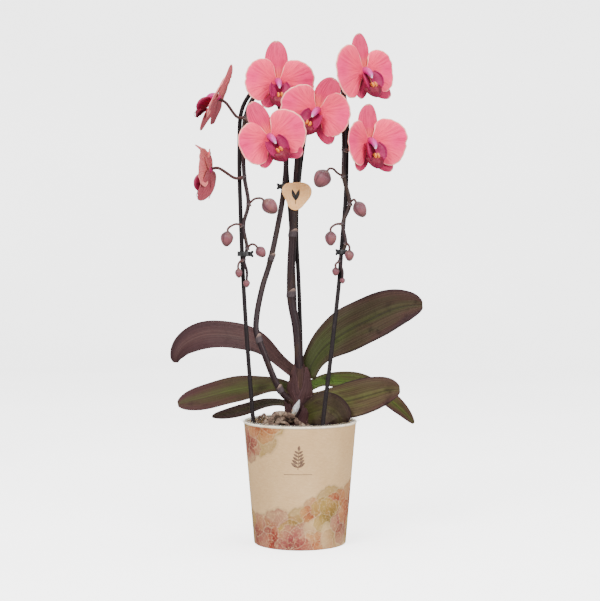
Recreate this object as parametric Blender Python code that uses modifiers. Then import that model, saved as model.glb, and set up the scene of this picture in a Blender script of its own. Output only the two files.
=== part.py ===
"""Potted moth orchid, two cascading flower spikes trained over bow wires, in a card cover pot.

Axes: +Z up, origin at the centre of the cover pot's flat foot, the plant's front towards -Y.
Every length below is written in millimetres and turned into metres by MM when a mesh is made.
"""

import math

import bmesh
import bpy
from mathutils import Matrix, Vector

MM = 0.001

# ---- driving dimensions, in millimetres -------------------------------------------------
GAP = 0.35                 # air left between two pieces that touch
COVER_FOOT_R = 48.0        # cover pot, outside radius at the foot
COVER_RIM_R = 59.0         # cover pot, outside radius just under its rolled rim
COVER_HEIGHT = 128.0
COVER_WALL = 1.2
COVER_BEAD = 1.3           # radius of the rolled rim
POT_CLEARANCE = 1.0        # radial air between cover pot and grow pot
POT_WALL = 0.8             # clear grow pot
POT_FLANGE_OVERHANG = 3.5  # how far the grow pot's flange reaches past the cover pot's rim
POT_FLANGE_THICK = 1.0
POT_FLOOR_LIFT = 3.0       # grow pot's floor above the cover pot's floor
DRAIN_HOLE_R = 1.9
DRAIN_RING_R = 26.0
DRAIN_HOLES = 6
BARK_BELOW_RIM = 12.0      # bark's surface under the rim at the wall
BARK_DOME = 4.0            # how much higher it stands at the middle
WIRE_R = 2.2               # coated bow wire
WIRE_DEPTH = 66.0          # how deep a wire's legs go into the bark
WIRE_FOOT_INSET = 4.0      # from the bark's edge to the axis of a wire's outer leg
CROWN_R = 14.0             # half width of the leaf-sheath stem, across
CROWN_FLAT = 0.70          # its depth as a share of its width
CROWN_TALL = 73.0          # above the bark
CROWN_DEEP = 20.0          # below it
PETAL_THICK = 1.2
SEPAL_THICK = 1.2
LEAF_THICK = 1.8
TAG_THICK = 1.5
TAG_R = 14.5               # mean radius of the tag's rounded triangle
CLIP_WALL = 1.3
CLIP_HEIGHT = 5.0
CLIP_PLAY = 1.4            # air between a clip and what it holds
TURN_STEPS = 40            # facets round a turned piece

COVER_FLOOR = COVER_WALL
RIM_TOP = COVER_HEIGHT
POT_FLANGE_R = COVER_RIM_R + POT_FLANGE_OVERHANG
POT_FLANGE_Z = RIM_TOP + GAP
POT_FLOOR = COVER_FLOOR + POT_FLOOR_LIFT
BARK_TOP = RIM_TOP - BARK_BELOW_RIM
CROWN_DEPTH = CROWN_R * CROWN_FLAT

# Colours: base colour, roughness, metallic
FINISHES = {
    "kraft_card": ((0.72, 0.55, 0.38), 0.8, 0.0),
    "clear_plastic": ((0.85, 0.87, 0.86), 0.15, 0.0),
    "bark": ((0.14, 0.07, 0.045), 0.9, 0.0),
    "root": ((0.30, 0.24, 0.19), 0.75, 0.0),
    "leaf": ((0.10, 0.11, 0.055), 0.5, 0.0),
    "sheath": ((0.13, 0.07, 0.06), 0.55, 0.0),
    "stem": ((0.11, 0.055, 0.055), 0.5, 0.0),
    "petal": ((0.85, 0.33, 0.36), 0.6, 0.0),
    "sepal": ((0.80, 0.25, 0.32), 0.6, 0.0),
    "lip": ((0.55, 0.03, 0.10), 0.5, 0.0),
    "bud": ((0.42, 0.14, 0.15), 0.55, 0.0),
    "wire": ((0.035, 0.025, 0.025), 0.45, 0.0),
    "clip": ((0.02, 0.02, 0.022), 0.5, 0.0),
    "tag": ((0.86, 0.66, 0.46), 0.75, 0.0),
}

for old in list(bpy.data.objects):
    bpy.data.objects.remove(old)

orchid = bpy.data.collections.new("potted_orchid")
helpers = bpy.data.collections.new("cutters")
for group in (orchid, helpers):
    bpy.context.scene.collection.children.link(group)


# ---- making and joining shapes ----------------------------------------------------------
def finish_of(name):
    """The Principled material with that name, made the first time it is asked for."""
    if name in bpy.data.materials:
        return bpy.data.materials[name]
    colour, roughness, metallic = FINISHES[name]
    made = bpy.data.materials.new(name)
    made.use_nodes = True
    shader = made.node_tree.nodes["Principled BSDF"]
    shader.inputs["Base Color"].default_value = (*colour, 1.0)
    shader.inputs["Roughness"].default_value = roughness
    shader.inputs["Metallic"].default_value = metallic
    return made


def place(obj, finish, cutter=False):
    """Puts obj in its collection with its material, or among the cutters."""
    for holder in list(obj.users_collection):
        holder.objects.unlink(obj)
    (helpers if cutter else orchid).objects.link(obj)
    obj.data.materials.clear()
    obj.data.materials.append(finish_of(finish))
    if cutter:
        obj.hide_render = True
        obj.display_type = "WIRE"
    return obj


def object_from(name, shape, finish, cutter=False, smooth=True):
    """An object from a bmesh, whose lengths are already metres."""
    mesh = bpy.data.meshes.new(name)
    shape.to_mesh(mesh)
    shape.free()
    if smooth:
        mesh.shade_smooth()
    return place(bpy.data.objects.new(name, mesh), finish, cutter)


def as_mesh(obj):
    """obj with its modifiers and curves made into one welded mesh, under the same name."""
    bpy.context.view_layer.update()
    graph = bpy.context.evaluated_depsgraph_get()
    mesh = bpy.data.meshes.new_from_object(obj.evaluated_get(graph))
    shape = bmesh.new()
    shape.from_mesh(mesh)
    bmesh.ops.remove_doubles(shape, verts=shape.verts, dist=0.01 * MM)
    shape.to_mesh(mesh)
    shape.free()
    name, finish, world = obj.name, obj.data.materials[0].name, obj.matrix_world.copy()
    cutter = obj.hide_render
    bpy.data.objects.remove(obj)
    solid = bpy.data.objects.new(name, mesh)
    solid.matrix_world = world
    mesh.shade_smooth()
    return place(solid, finish, cutter)


def boolean(obj, other, operation):
    """obj joined with, or cut by, other, as an applied Boolean."""
    modifier = obj.modifiers.new(operation.lower(), "BOOLEAN")
    modifier.operation = operation
    modifier.object = other
    return as_mesh(obj)


def joined(pieces):
    """Overlapping solids made into one body; the first gives its name."""
    whole = pieces[0]
    for piece in pieces[1:]:
        whole = boolean(whole, piece, "UNION")
        bpy.data.objects.remove(piece)
    return whole


def turned(name, profile, finish, steps=TURN_STEPS, cutter=False):
    """A solid of revolution about Z. profile is (radius, height) pairs that end down the outside."""
    shape = bmesh.new()
    corners = [shape.verts.new((r * MM, 0.0, z * MM)) for r, z in profile]
    for a, b in zip(corners, corners[1:]):
        shape.edges.new((a, b))
    obj = object_from(name, shape, finish, cutter, smooth=False)
    screw = obj.modifiers.new("turn", "SCREW")
    screw.steps = screw.render_steps = steps
    screw.use_merge_vertices = True
    screw.merge_threshold = 0.00001
    screw.use_smooth_shade = True
    return as_mesh(obj)


def path_through(points, per_span):
    """A centripetal Catmull-Rom curve through points, with per_span steps between each pair."""
    knots = [Vector(p) for p in points]
    ends = [knots[0] * 2 - knots[1], *knots, knots[-1] * 2 - knots[-2]]
    found = []
    for a, b, c, d in zip(ends, ends[1:], ends[2:], ends[3:]):
        t0 = 0.0
        t1 = t0 + math.sqrt((b - a).length)
        t2 = t1 + math.sqrt((c - b).length)
        t3 = t2 + math.sqrt((d - c).length)
        for step in range(per_span):
            t = t1 + (t2 - t1) * step / per_span
            ab = a.lerp(b, (t - t0) / (t1 - t0))
            bc = b.lerp(c, (t - t1) / (t2 - t1))
            cd = c.lerp(d, (t - t2) / (t3 - t2))
            abc = ab.lerp(bc, (t - t0) / (t2 - t0))
            bcd = bc.lerp(cd, (t - t1) / (t3 - t1))
            found.append(abc.lerp(bcd, (t - t1) / (t2 - t1)))
    return [*found, knots[-1]]


def radius_at(radii, share):
    """The radius at a share of the way along a tube that has radii at even steps."""
    place_in = share * (len(radii) - 1)
    low = min(int(place_in), len(radii) - 2)
    return radii[low] + (radii[low + 1] - radii[low]) * (place_in - low)


def tube(name, points, radii, finish, per_span=3, sides=2, cutter=False):
    """A round tube along a smooth path, with radii at even steps along it."""
    route = path_through(points, per_span)
    data = bpy.data.curves.new(name, "CURVE")
    data.dimensions = "3D"
    data.twist_mode = "MINIMUM"
    data.bevel_depth = MM
    data.bevel_resolution = sides
    data.use_fill_caps = True
    line = data.splines.new("POLY")
    line.points.add(len(route) - 1)
    for index, (point, spot) in enumerate(zip(line.points, route)):
        point.co = (*(spot * MM), 1.0)
        point.radius = radius_at(radii, index / (len(route) - 1))
    obj = bpy.data.objects.new(name, data)
    return as_mesh(place(obj, finish, cutter))


def moulded(name, finish, around, rings, rule):
    """A closed body from a unit sphere whose points are moved by rule(x, y, z), in millimetres."""
    shape = bmesh.new()
    bmesh.ops.create_uvsphere(shape, u_segments=around, v_segments=rings, radius=1.0)
    for vert in shape.verts:
        vert.co = Vector(rule(*vert.co)) * MM
    return object_from(name, shape, finish)


def smoothstep(share):
    share = min(max(share, 0.0), 1.0)
    return share * share * (3 - 2 * share)


# ---- cover pot and grow pot ------------------------------------------------------------
def cover_radius(z):
    """Outside radius of the cover pot at height z."""
    return COVER_FOOT_R + (COVER_RIM_R - COVER_FOOT_R) * z / COVER_HEIGHT


def grow_radius(z):
    """Outside radius of the grow pot at height z."""
    return cover_radius(z) - COVER_WALL - POT_CLEARANCE


def bark_radius(z):
    """Radius of the bark at height z, just inside the grow pot's wall."""
    return grow_radius(z) - POT_WALL - GAP


def make_cover_pot():
    """Tapered card cup with a flat floor and a rolled rim."""
    bead_z = COVER_HEIGHT - COVER_BEAD
    bead_r = cover_radius(bead_z) - COVER_WALL / 2
    bead = [
        (bead_r + COVER_BEAD * math.cos(a), bead_z + COVER_BEAD * math.sin(a))
        for a in (math.radians(d) for d in (150, 90, 30, -30))
    ]
    profile = [
        (0.0, COVER_FLOOR),
        (cover_radius(COVER_FLOOR) - COVER_WALL, COVER_FLOOR),
        (cover_radius(bead_z - COVER_BEAD) - COVER_WALL, bead_z - COVER_BEAD),
        *bead,
        (cover_radius(bead_z - COVER_BEAD), bead_z - COVER_BEAD),
        (COVER_FOOT_R, 0.0),
        (0.0, 0.0),
    ]
    turned("cover_pot", profile, "kraft_card")


def make_grow_pot():
    """Clear liner pot that hangs in the cover pot by its flange, with drain holes in its floor."""
    neck = grow_radius(RIM_TOP)
    profile = [
        (0.0, POT_FLOOR + POT_WALL),
        (grow_radius(POT_FLOOR) - POT_WALL, POT_FLOOR + POT_WALL),
        (neck - POT_WALL, POT_FLANGE_Z + POT_FLANGE_THICK),
        (POT_FLANGE_R, POT_FLANGE_Z + POT_FLANGE_THICK),
        (POT_FLANGE_R, POT_FLANGE_Z),
        (neck, POT_FLANGE_Z),
        (grow_radius(POT_FLOOR), POT_FLOOR),
        (0.0, POT_FLOOR),
    ]
    pot = turned("grow_pot", profile, "clear_plastic")
    for hole in range(DRAIN_HOLES):
        angle = math.tau * hole / DRAIN_HOLES
        bpy.ops.mesh.primitive_cylinder_add(
            vertices=10,
            radius=DRAIN_HOLE_R * MM,
            depth=6 * POT_WALL * MM,
            location=(
                DRAIN_RING_R * math.cos(angle) * MM,
                DRAIN_RING_R * math.sin(angle) * MM,
                (POT_FLOOR + POT_WALL / 2) * MM,
            ),
        )
        drill = place(bpy.context.object, "clip", cutter=True)
        pot = boolean(pot, drill, "DIFFERENCE")


# ---- crown: the short stem wrapped in leaf sheaths ---------------------------------------
def make_crown(name, grow=0.0, cutter=False):
    """The crown, or with grow above 0 the slightly larger form that clears its neighbours."""
    top = BARK_TOP + CROWN_TALL
    foot = BARK_TOP - CROWN_DEEP
    profile = [
        (0.0, top + grow),
        (0.28 * CROWN_R + grow, top - 1.0 + grow),
        (0.62 * CROWN_R + grow, top - 12.0),
        (0.90 * CROWN_R + grow, top - 32.0),
        (CROWN_R + grow, top - 52.0),
        (0.95 * CROWN_R + grow, BARK_TOP + 4.0),
        (0.80 * CROWN_R + grow, foot - grow),
        (0.0, foot - grow),
    ]
    crown = turned(name, profile, "sheath", steps=20, cutter=cutter)
    crown.data.transform(Matrix.Diagonal((1.0, CROWN_FLAT, 1.0, 1.0)))
    return crown


# ---- bow wires --------------------------------------------------------------------------
# The plant's heights, here and below, are measured from the bark's surface at the pot's wall.
# Each wire rises from the bark behind the crown, arches over and comes down to the bark at the
# pot's edge, in the direction FOOT_ANGLES gives. The points of a bow lie on the wire's front, on
# which the stems rest.
LEFT_BOW = [
    (-4, 15, 84), (-8, 14.5, 189), (-11, 14, 237), (-14, 12, 274), (-16, 9, 314), (-23, 4, 352),
    (-36, -1, 368), (-50, -6, 353), (-60, -10, 334), (-62.5, -13, 292), (-61, -15, 221), (-58, -17, 149),
    (-54, -19, 87),
]
RIGHT_BOW = [
    (1, 12, 84), (-1.5, 9, 158), (-3.5, 9.5, 199), (-3.5, 10.5, 231), (-1, 10.5, 262), (2, 8, 289),
    (7, 5, 319), (16, 1, 348), (30, -2, 362), (42, -10, 356), (47.5, -16, 336), (48, -22, 292),
    (46.5, -27, 241), (43, -31, 200), (40, -34, 159), (32.5, -41, 91),
]
BOWS = {"left": LEFT_BOW, "right": RIGHT_BOW}
INNER_FEET = {"left": (-4, CROWN_DEPTH + WIRE_R + 5), "right": (2, CROWN_DEPTH + WIRE_R + 3)}
FOOT_ANGLES = {"left": 201, "right": 296}


def above_bark(points):
    """Points whose heights are above the bark, with heights above the ground instead."""
    return [(x, y, z + BARK_TOP) for x, y, z in points]


def inner_leg(side):
    """The bottom and the top of the straight leg in the bark behind the crown."""
    x, y = INNER_FEET[side]
    return above_bark([(x, y, -WIRE_DEPTH), (x, y, BARK_DOME)])


def outer_leg(side):
    """The top and the bottom of the straight leg in the bark at the pot's edge."""
    angle = math.radians(FOOT_ANGLES[side])
    leg = []
    for height in (BARK_TOP + BARK_DOME, BARK_TOP - WIRE_DEPTH):
        out = bark_radius(height) - WIRE_FOOT_INSET
        leg.append((out * math.cos(angle), out * math.sin(angle), height))
    return leg


def bow_axis(side):
    """The axis of a wire's bow, its radius behind the bow's front."""
    return [(x, y + WIRE_R, z) for x, y, z in BOWS[side]]


def wire_route(side):
    return [*inner_leg(side), *above_bark(bow_axis(side)), *outer_leg(side)]


def make_wires():
    for side in BOWS:
        tube(f"bow_wire_{side}", wire_route(side), (WIRE_R, WIRE_R), "wire", per_span=2)


def wire_holes():
    """Clearance holes in the bark, which follow the wires' four legs."""
    for side in BOWS:
        route = path_through(wire_route(side), 2)
        for leg, ends in (("inner", route[:4]), ("outer", route[:-5:-1])):
            foot = ends[0] + (ends[0] - ends[1]).normalized() * 2 * GAP
            yield tube(
                f"hole_{side}_{leg}",
                [foot, *ends[1:]],
                (WIRE_R + GAP, WIRE_R + GAP),
                "clip",
                per_span=1,
                cutter=True,
            )


# ---- bark and roots ---------------------------------------------------------------------
def bark_height(r):
    """Height of the bark's surface at radius r."""
    return BARK_TOP + BARK_DOME * (1 - (r / bark_radius(BARK_TOP)) ** 2)


def make_bark(crown_room):
    foot = POT_FLOOR + POT_WALL + GAP
    wall = bark_radius(BARK_TOP)
    profile = [
        *((wall * share, bark_height(wall * share)) for share in (0.0, 0.35, 0.7, 1.0)),
        (bark_radius(foot), foot),
        (0.0, foot),
    ]
    bark = turned("bark", profile, "bark", steps=30)
    for hole in (crown_room, *wire_holes()):
        bark = boolean(bark, hole, "DIFFERENCE")


def by_crown(x, out):
    """A spot in front of the crown, out from its face."""
    return x, -(CROWN_DEPTH + out)


def by_edge(degrees, inset):
    """A spot on the bark, inset from its edge."""
    out = bark_radius(BARK_TOP) - inset
    return out * math.cos(math.radians(degrees)), out * math.sin(math.radians(degrees))


# Aerial roots: start, end, then (share of the way, shift to the left of it, how far the root's
# underside stands above the bark) for each point, then the radii.
ROOTS = {
    "root_front": (
        by_crown(-8, 1.2), by_edge(219, 5.5), [(0, 0, 6), (0.3, 1, 11), (0.72, 5, 4), (1, 0, 0)],
        (2.6, 2.4, 1.8),
    ),
    "root_left": (
        (-CROWN_R, -5), by_edge(175, 12), [(0, 0, 3), (0.33, 7, 6), (0.7, 8, 5), (1, 0, 0)],
        (2.4, 2.2, 1.6),
    ),
    "root_right": (
        by_crown(8, 1.2), by_edge(259, 12.5), [(0, 0, 1), (0.33, 9, 1), (0.75, 10, 0), (1, 0, 0)],
        (2.4, 2.2, 1.6),
    ),
    "root_tip": (
        by_crown(0, -0.8), by_crown(-5, 6.7), [(0, 0, 28), (0.4, 0, 20), (0.8, 0, 10), (1, 0, 0)],
        (2.6, 3.2, 1.8),
    ),
}


def make_roots(crown_room):
    for name, (start, end, route, radii) in ROOTS.items():
        start, end = Vector(start), Vector(end)
        left = Vector((start.y - end.y, end.x - start.x)).normalized()
        points = []
        for index, (share, shift, rise) in enumerate(route):
            spot = start.lerp(end, share) + left * shift
            radius = radius_at(radii, index / (len(route) - 1))
            points.append((*spot, bark_height(spot.length) + radius + GAP + rise))
        root = tube(name, points, radii, "root", per_span=2, sides=1)
        boolean(root, crown_room, "DIFFERENCE")


# ---- leaves -----------------------------------------------------------------------------
# Midrib points from the crown to the tip, half width, tilt of the blade towards the front at
# the base and at the tip in degrees, and the base's width as a share of the widest.
LEAVES = {
    "leaf_upper_left": (
        [(-7, 3, 60), (-21, 7, 71), (-45, 11, 90), (-73, 13, 98), (-102, 13, 98), (-121, 11, 89),
         (-129, 9, 78), (-130, 8, 71)], 20.5, (28, 48), 0.5),
    "leaf_mid_left": (
        [(-5, 2, 42), (-25, 4, 47), (-48, 5, 45), (-73, 3, 41), (-98, 0, 35), (-118, -3, 31),
         (-128, -4, 29)], 18.5, (32, 48), 0.5),
    "leaf_low_left": (
        [(-6, 5, 24), (-20, 11, 28), (-36, 15, 27), (-59, 18, 20), (-77, 16, 16), (-93, 13, 14)],
        10, (22, 35), 0.6),
    "leaf_upper_right": (
        [(7, 3, 57), (15, 7, 74), (26, 8, 88), (45, 6, 102), (71, 1, 116), (97, -4, 128),
         (114, -6, 132), (128, -7, 133)], 25, (64, 66), 0.42),
    "leaf_back_right": (
        [(6, 2, 44), (23, 17, 50), (43, 29, 49), (67, 33, 45), (88, 32, 34), (106, 29, 20), (121, 25, 5)],
        16, (38, 30), 0.4),
    "leaf_mid_right": (
        [(6, -1, 30), (32, -3, 31), (52, -6, 33), (73, -9, 39), (90, -12, 44), (104, -14, 46)],
        20, (66, 60), 0.5),
}
LEAF_INSET = 8.0           # from the grow pot's wall to the midrib of the leaf that dips into it
LEAF_FOLD = 0.18           # rise of the blade's edges over its midrib, as a share of half width
LEAF_ROWS = 11
LEAF_COLUMNS = 4


def front_leaf():
    """The short leaf that curls over inside the front of the pot, with its tip on the bark."""
    reach = grow_radius(BARK_TOP) - POT_WALL - LEAF_INSET
    points = [(6, -6, 18), (15, -15.5, 23)]
    for share, degrees, height in ((0.78, -39, 26), (0.98, -32, 19), (1.0, -28, 9)):
        angle = math.radians(degrees)
        points.append((reach * share * math.cos(angle), reach * share * math.sin(angle), height))
    return points, 15.0, (78, 76), 0.6


def leaf_width(share, base_share):
    """Half width at share of the length, as a share of the widest: broad, with a rounded tip."""
    swell = base_share + (1 - base_share) * smoothstep(share / 0.5)
    taper = max(0.0, (share - 0.5) / 0.5)
    return swell * math.sqrt(max(0.0, 1 - taper**2.6))


def make_leaf(name, midrib, half_width, tilts, base_share, crown_room):
    """A grid bent along the midrib, thickened, then cut where it clasps the crown."""
    route = path_through(above_bark(midrib), 8)
    lengths = [0.0]
    for a, b in zip(route, route[1:]):
        lengths.append(lengths[-1] + (b - a).length)
    handed = math.copysign(1.0, midrib[-1][0])

    def along(share):
        want = share * lengths[-1]
        index = next((i for i, far in enumerate(lengths) if far > want), len(lengths) - 1)
        start, end = route[index - 1], route[index]
        part = (want - lengths[index - 1]) / (lengths[index] - lengths[index - 1])
        return start.lerp(end, part), (end - start).normalized()

    bpy.ops.mesh.primitive_grid_add(
        x_subdivisions=LEAF_ROWS, y_subdivisions=LEAF_COLUMNS, size=2.0
    )
    leaf = bpy.context.object
    leaf.name = name
    for vert in leaf.data.vertices:
        share = 0.99 * math.sin((vert.co.x + 1) / 4 * math.pi)
        side = vert.co.y
        spot, forward = along(share)
        across = (Vector((0, 1, 0)) - forward * forward.y).normalized()
        normal = forward.cross(across) * handed
        tilt = math.radians(tilts[0] + (tilts[1] - tilts[0]) * smoothstep(share))
        across, normal = (
            across * math.cos(tilt) + normal * math.sin(tilt),
            normal * math.cos(tilt) - across * math.sin(tilt),
        )
        width = half_width * leaf_width(share, base_share)
        rise = LEAF_FOLD * width * abs(side)
        vert.co = (spot + across * width * side + normal * rise) * MM
    leaf.data.update()
    place(leaf, "leaf")
    skin = leaf.modifiers.new("thickness", "SOLIDIFY")
    skin.thickness = LEAF_THICK * MM
    skin.offset = 0.0
    leaf = as_mesh(leaf)
    boolean(leaf, crown_room, "DIFFERENCE")


# ---- flowers ----------------------------------------------------------------------------
# Each flower: its centre, the way it faces (degrees to the right of the front, degrees up) and
# its roll (degrees clockwise as seen from in front of it).
FLOWERS = {
    "flower_1": ((-84, -20, 345), (-102, 28), 8),
    "flower_2": ((-92, -22, 273), (-108, -4), 0),
    "flower_3": ((-20, -20, 363), (10, 4), -3),
    "flower_4": ((-28.5, -56, 308), (13, 0), -30),
    "flower_5": ((17.5, -38, 332), (-12, 0), 28),
    "flower_6": ((60.5, -48, 370), (35, 2), -14),
    "flower_7": ((73, -48, 301), (33, 0), -4),
}
HUB_R = 4.0
SEPAL_DORSAL = (37.5, 11.5)      # length, half width
SEPAL_LATERAL = (35.0, 10.5)
SEPAL_ANGLES = (90.0, 234.0, 306.0)
PETAL_SIZE = (37.0, 22.0)
PETAL_ANGLES = (5.0, 175.0)
CUP = 0.0035                     # how the whole flower curves forward, per square of radius
PETAL_SWEEP = 0.06               # how much more the petals lean forward, per unit of radius
PETAL_LIFT = SEPAL_THICK / 2 + PETAL_THICK / 2 + GAP
LIP_LIFT = PETAL_LIFT + PETAL_THICK / 2 + GAP


def lobe(angle, toward, length, half_width):
    """Polar radius of an ellipse that starts at the middle and reaches length towards an angle."""
    turn = math.radians((angle - toward + 180) % 360 - 180)
    if abs(turn) >= math.pi / 2:
        return 0.0
    a = length / 2
    return 2 * a * math.cos(turn) / (math.cos(turn) ** 2 + (a / half_width) ** 2 * math.sin(turn) ** 2)


def sepal_outline(angle):
    sizes = (SEPAL_DORSAL, SEPAL_LATERAL, SEPAL_LATERAL)
    return max(HUB_R, *(lobe(angle, at, *size) for at, size in zip(SEPAL_ANGLES, sizes)))


def petal_outline(angle):
    return max(HUB_R, *(lobe(angle, at, *PETAL_SIZE) for at in PETAL_ANGLES))


def flat_part(name, finish, outline, thick, height, around, rings):
    """A thin body with a polar outline; height(x, y) is its middle surface."""

    def rule(x, y, z):
        share = math.hypot(x, y)
        angle = math.degrees(math.atan2(y, x))
        reach = outline(angle) * share
        px, py = reach * math.cos(math.radians(angle)), reach * math.sin(math.radians(angle))
        return px, py, height(px, py) + z * thick / 2

    return moulded(name, finish, around, rings, rule)


def sepal_height(x, y):
    return CUP * (x * x + y * y)


def petal_height(x, y):
    return PETAL_LIFT + CUP * (x * x + y * y) + PETAL_SWEEP * max(0.0, abs(x) - HUB_R)


# Lip: side lobes that stand up and forward, and a middle lobe that reaches forward and down.
LIP_SIDE = (13.0, 5.0)
LIP_MIDDLE = (16.0, 6.5)
LIP_ANGLES = (25.0, 155.0, 270.0)
LIP_HUB = 4.5
LIP_DROP = 6.0                    # the lip's root under the flower's centre
LIP_THICK = 1.6
COLUMN_LENGTH = 10.0
COLUMN_R = 3.2


def lip_outline(angle):
    sizes = (LIP_SIDE, LIP_SIDE, LIP_MIDDLE)
    return max(LIP_HUB, *(lobe(angle, at, *size) for at, size in zip(LIP_ANGLES, sizes)))


def lip_height(x, y):
    return LIP_LIFT + 3.5 + 0.085 * x * x + 0.32 * max(0.0, -y)


def make_lip(name):
    """The lip and the column above it, grown together."""
    blade = flat_part(name, "lip", lip_outline, LIP_THICK, lip_height, 24, 4)
    blade.data.transform(Matrix.Translation((0, -LIP_DROP * MM, 0)))

    def rule(x, y, z):
        forward = (z + 1) / 2
        return (
            COLUMN_R * x,
            COLUMN_R * y - 1.0 - 2.5 * forward,
            LIP_LIFT + COLUMN_LENGTH * forward,
        )

    column = moulded(f"{name}_column", "lip", 8, 6, rule)
    return joined([blade, column])


def flower_frame(name):
    """The matrix that carries a flower, made facing +Z with its top at +Y, to its place."""
    centre, facing, roll = FLOWERS[name]
    yaw, pitch = (math.radians(a) for a in facing)
    normal = Vector(
        (math.sin(yaw) * math.cos(pitch), -math.cos(yaw) * math.cos(pitch), math.sin(pitch))
    )
    side = Vector((0, 0, 1)).cross(normal).normalized()
    axes = Matrix((side, normal.cross(side), normal)).transposed().to_4x4()
    spot = Vector(above_bark([centre])[0])
    turn = Matrix.Rotation(-math.radians(roll), 4, "Z")
    return Matrix.Translation(spot * MM) @ axes @ turn


def make_flowers():
    """Seven flowers: an empty at each one's place carries its sepals, its petals and its lip."""
    meshes = {}
    for name in FLOWERS:
        holder = bpy.data.objects.new(f"{name}_place", None)
        orchid.objects.link(holder)
        holder.matrix_world = flower_frame(name)
        if not meshes:
            sepals = flat_part(
                f"{name}_sepals", "sepal", sepal_outline, SEPAL_THICK, sepal_height, 30, 6
            )
            petals = flat_part(
                f"{name}_petals", "petal", petal_outline, PETAL_THICK, petal_height, 24, 6
            )
            made = {"sepals": sepals, "petals": petals, "lip": make_lip(f"{name}_lip")}
            meshes = {part: obj.data for part, obj in made.items()}
        else:
            made = {}
            for part, mesh in meshes.items():
                made[part] = bpy.data.objects.new(f"{name}_{part}", mesh)
                orchid.objects.link(made[part])
        for obj in made.values():
            obj.parent = holder


# ---- buds -------------------------------------------------------------------------------
# Each bud: where its stalk ends, the way its tip points, its length and its width.
BUD_SEAT = 0.6                   # from the stalk's end to the bud
BUDS = {
    "bud_left_1": ((-37.5, -24, 241), (0.8, 0, -0.75), 18, 15.5),
    "bud_left_2": ((-74, -22, 209.5), (-0.12, 0, -1), 15.5, 13),
    "bud_left_3": ((-44, -26.5, 193), (0.65, -0.05, -0.8), 12, 10.5),
    "bud_left_4": ((-63.2, -25.5, 171.5), (0.08, 0, -1), 9.5, 7.5),
    "bud_left_5": ((-54.6, -21, 160), (-0.05, -0.1, -1), 8, 7),
    "bud_right_1": ((28, -36, 270.5), (-0.6, 0, -0.85), 19, 18),
    "bud_right_2": ((56.5, -37, 239), (0.5, 0, -0.85), 17, 13.5),
    "bud_right_3": ((31.2, -38, 209.5), (0, 0, -1), 14.5, 12),
    "bud_right_4": ((50, -44, 190.5), (0, 0, -1), 11, 9.5),
    "bud_right_5": ((36.2, -38.5, 173), (0, 0, -1), 8.5, 7.5),
    "bud_right_6": ((43.3, -36.2, 162.5), (0, -0.1, -1), 6, 5.5),
}


def make_bud(name, foot, toward, length, width):
    """A plump egg with a blunt point, its stalk end at its origin."""

    def rule(x, y, z):
        share = (z + 1) / 2
        plump = width / 2 * (1.22 - 0.42 * share)
        return plump * x, plump * y, length * share + BUD_SEAT

    bud = moulded(name, "bud", 10, 6, rule)
    bud.location = Vector(above_bark([foot])[0]) * MM
    bud.rotation_euler = Vector(toward).to_track_quat("Z", "Y").to_euler()


# ---- flower spikes ----------------------------------------------------------------------
# The main axis of each spike, from the crown over its wire to the tip, then its stalks: the
# axis point that each leaves from, the points between, and the flower or bud that it carries.
LEFT_SPIKE = [
    (-8, -6, 31), (-20.5, -14, 45), (-39, -17, 89), (-45, -14, 106), (-44.5, -11, 123),
    (-38.5, -5, 153), (-32, -2, 174), (-24, 2, 210), (-17.5, 6.5, 247), (-14.5, 7, 278), (-16, 3.5, 314),
    (-23, -1, 343), (-36, -6, 358.5), (-48, -10, 346), (-56, -13.5, 326), (-58, -17, 292),
    (-57, -18.5, 265), (-53, -20, 237), (-58, -20.5, 215), (-54.5, -21.5, 192), (-57.5, -21, 180),
    (-54.5, -21, 168), (-54.6, -21, 160),
]
RIGHT_SPIKE = [
    (0, 0, 64), (-1.5, -1, 80), (-4, 1, 109), (-9, 3, 137), (-9.5, 3.5, 167), (-8, 4, 199),
    (-6.5, 5, 231), (-4.5, 5.5, 252), (-1.5, 3.5, 289), (4.5, 1, 319), (15, -2.5, 343), (30, -6, 355),
    (40, -14, 347), (43.8, -19.8, 329), (45, -26.3, 292), (44.5, -29, 265), (50.5, -31, 237),
    (43.5, -33.6, 217), (46.3, -34.8, 197), (40.5, -35.6, 179), (43.2, -36, 168), (43.3, -36.2, 162.5),
]
SPIKES = {
    "left": (LEFT_SPIKE, (3.4, 3.2, 3.0, 2.9, 2.7, 2.5, 2.2, 2.0, 1.7, 1.2)),
    "right": (RIGHT_SPIKE, (4.4, 4.4, 4.3, 3.8, 3.2, 2.8, 2.3, 2.0, 1.7, 1.2)),
}
STALKS = {
    "left": {
        "flower_1": (14, [(-64, -18, 326)]),
        "flower_2": (16, [(-66, -20.5, 263.5)]),
        "flower_3": (12, []),
        "flower_4": (14, [(-50, -26, 317)]),
        "bud_left_1": (17, [(-46, -22.5, 242.5)]),
        "bud_left_2": (18, [(-66, -22, 216.5)]),
        "bud_left_3": (19, [(-49.5, -24.5, 196)]),
        "bud_left_4": (20, [(-61.5, -24, 178)]),
    },
    "right": {
        "flower_5": (10, [(16, -20, 339)]),
        "flower_6": (12, [(46, -24, 352)]),
        "flower_7": (14, [(52, -33, 292)]),
        "bud_right_1": (15, [(38, -32, 268.5), (33.5, -35, 272.5)]),
        "bud_right_2": (16, [(53, -34, 240.5)]),
        "bud_right_3": (17, [(36, -37, 216)]),
        "bud_right_4": (18, [(48.5, -39.5, 196)]),
        "bud_right_5": (19, []),
    },
}
FLOWER_STALK_R = 1.5
FLOWER_STALK_NECK = 8.0          # the straight stretch of a stalk behind its flower
BUD_STALK_R = 1.15
BUD_STALK_NECK = 2.5


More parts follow.
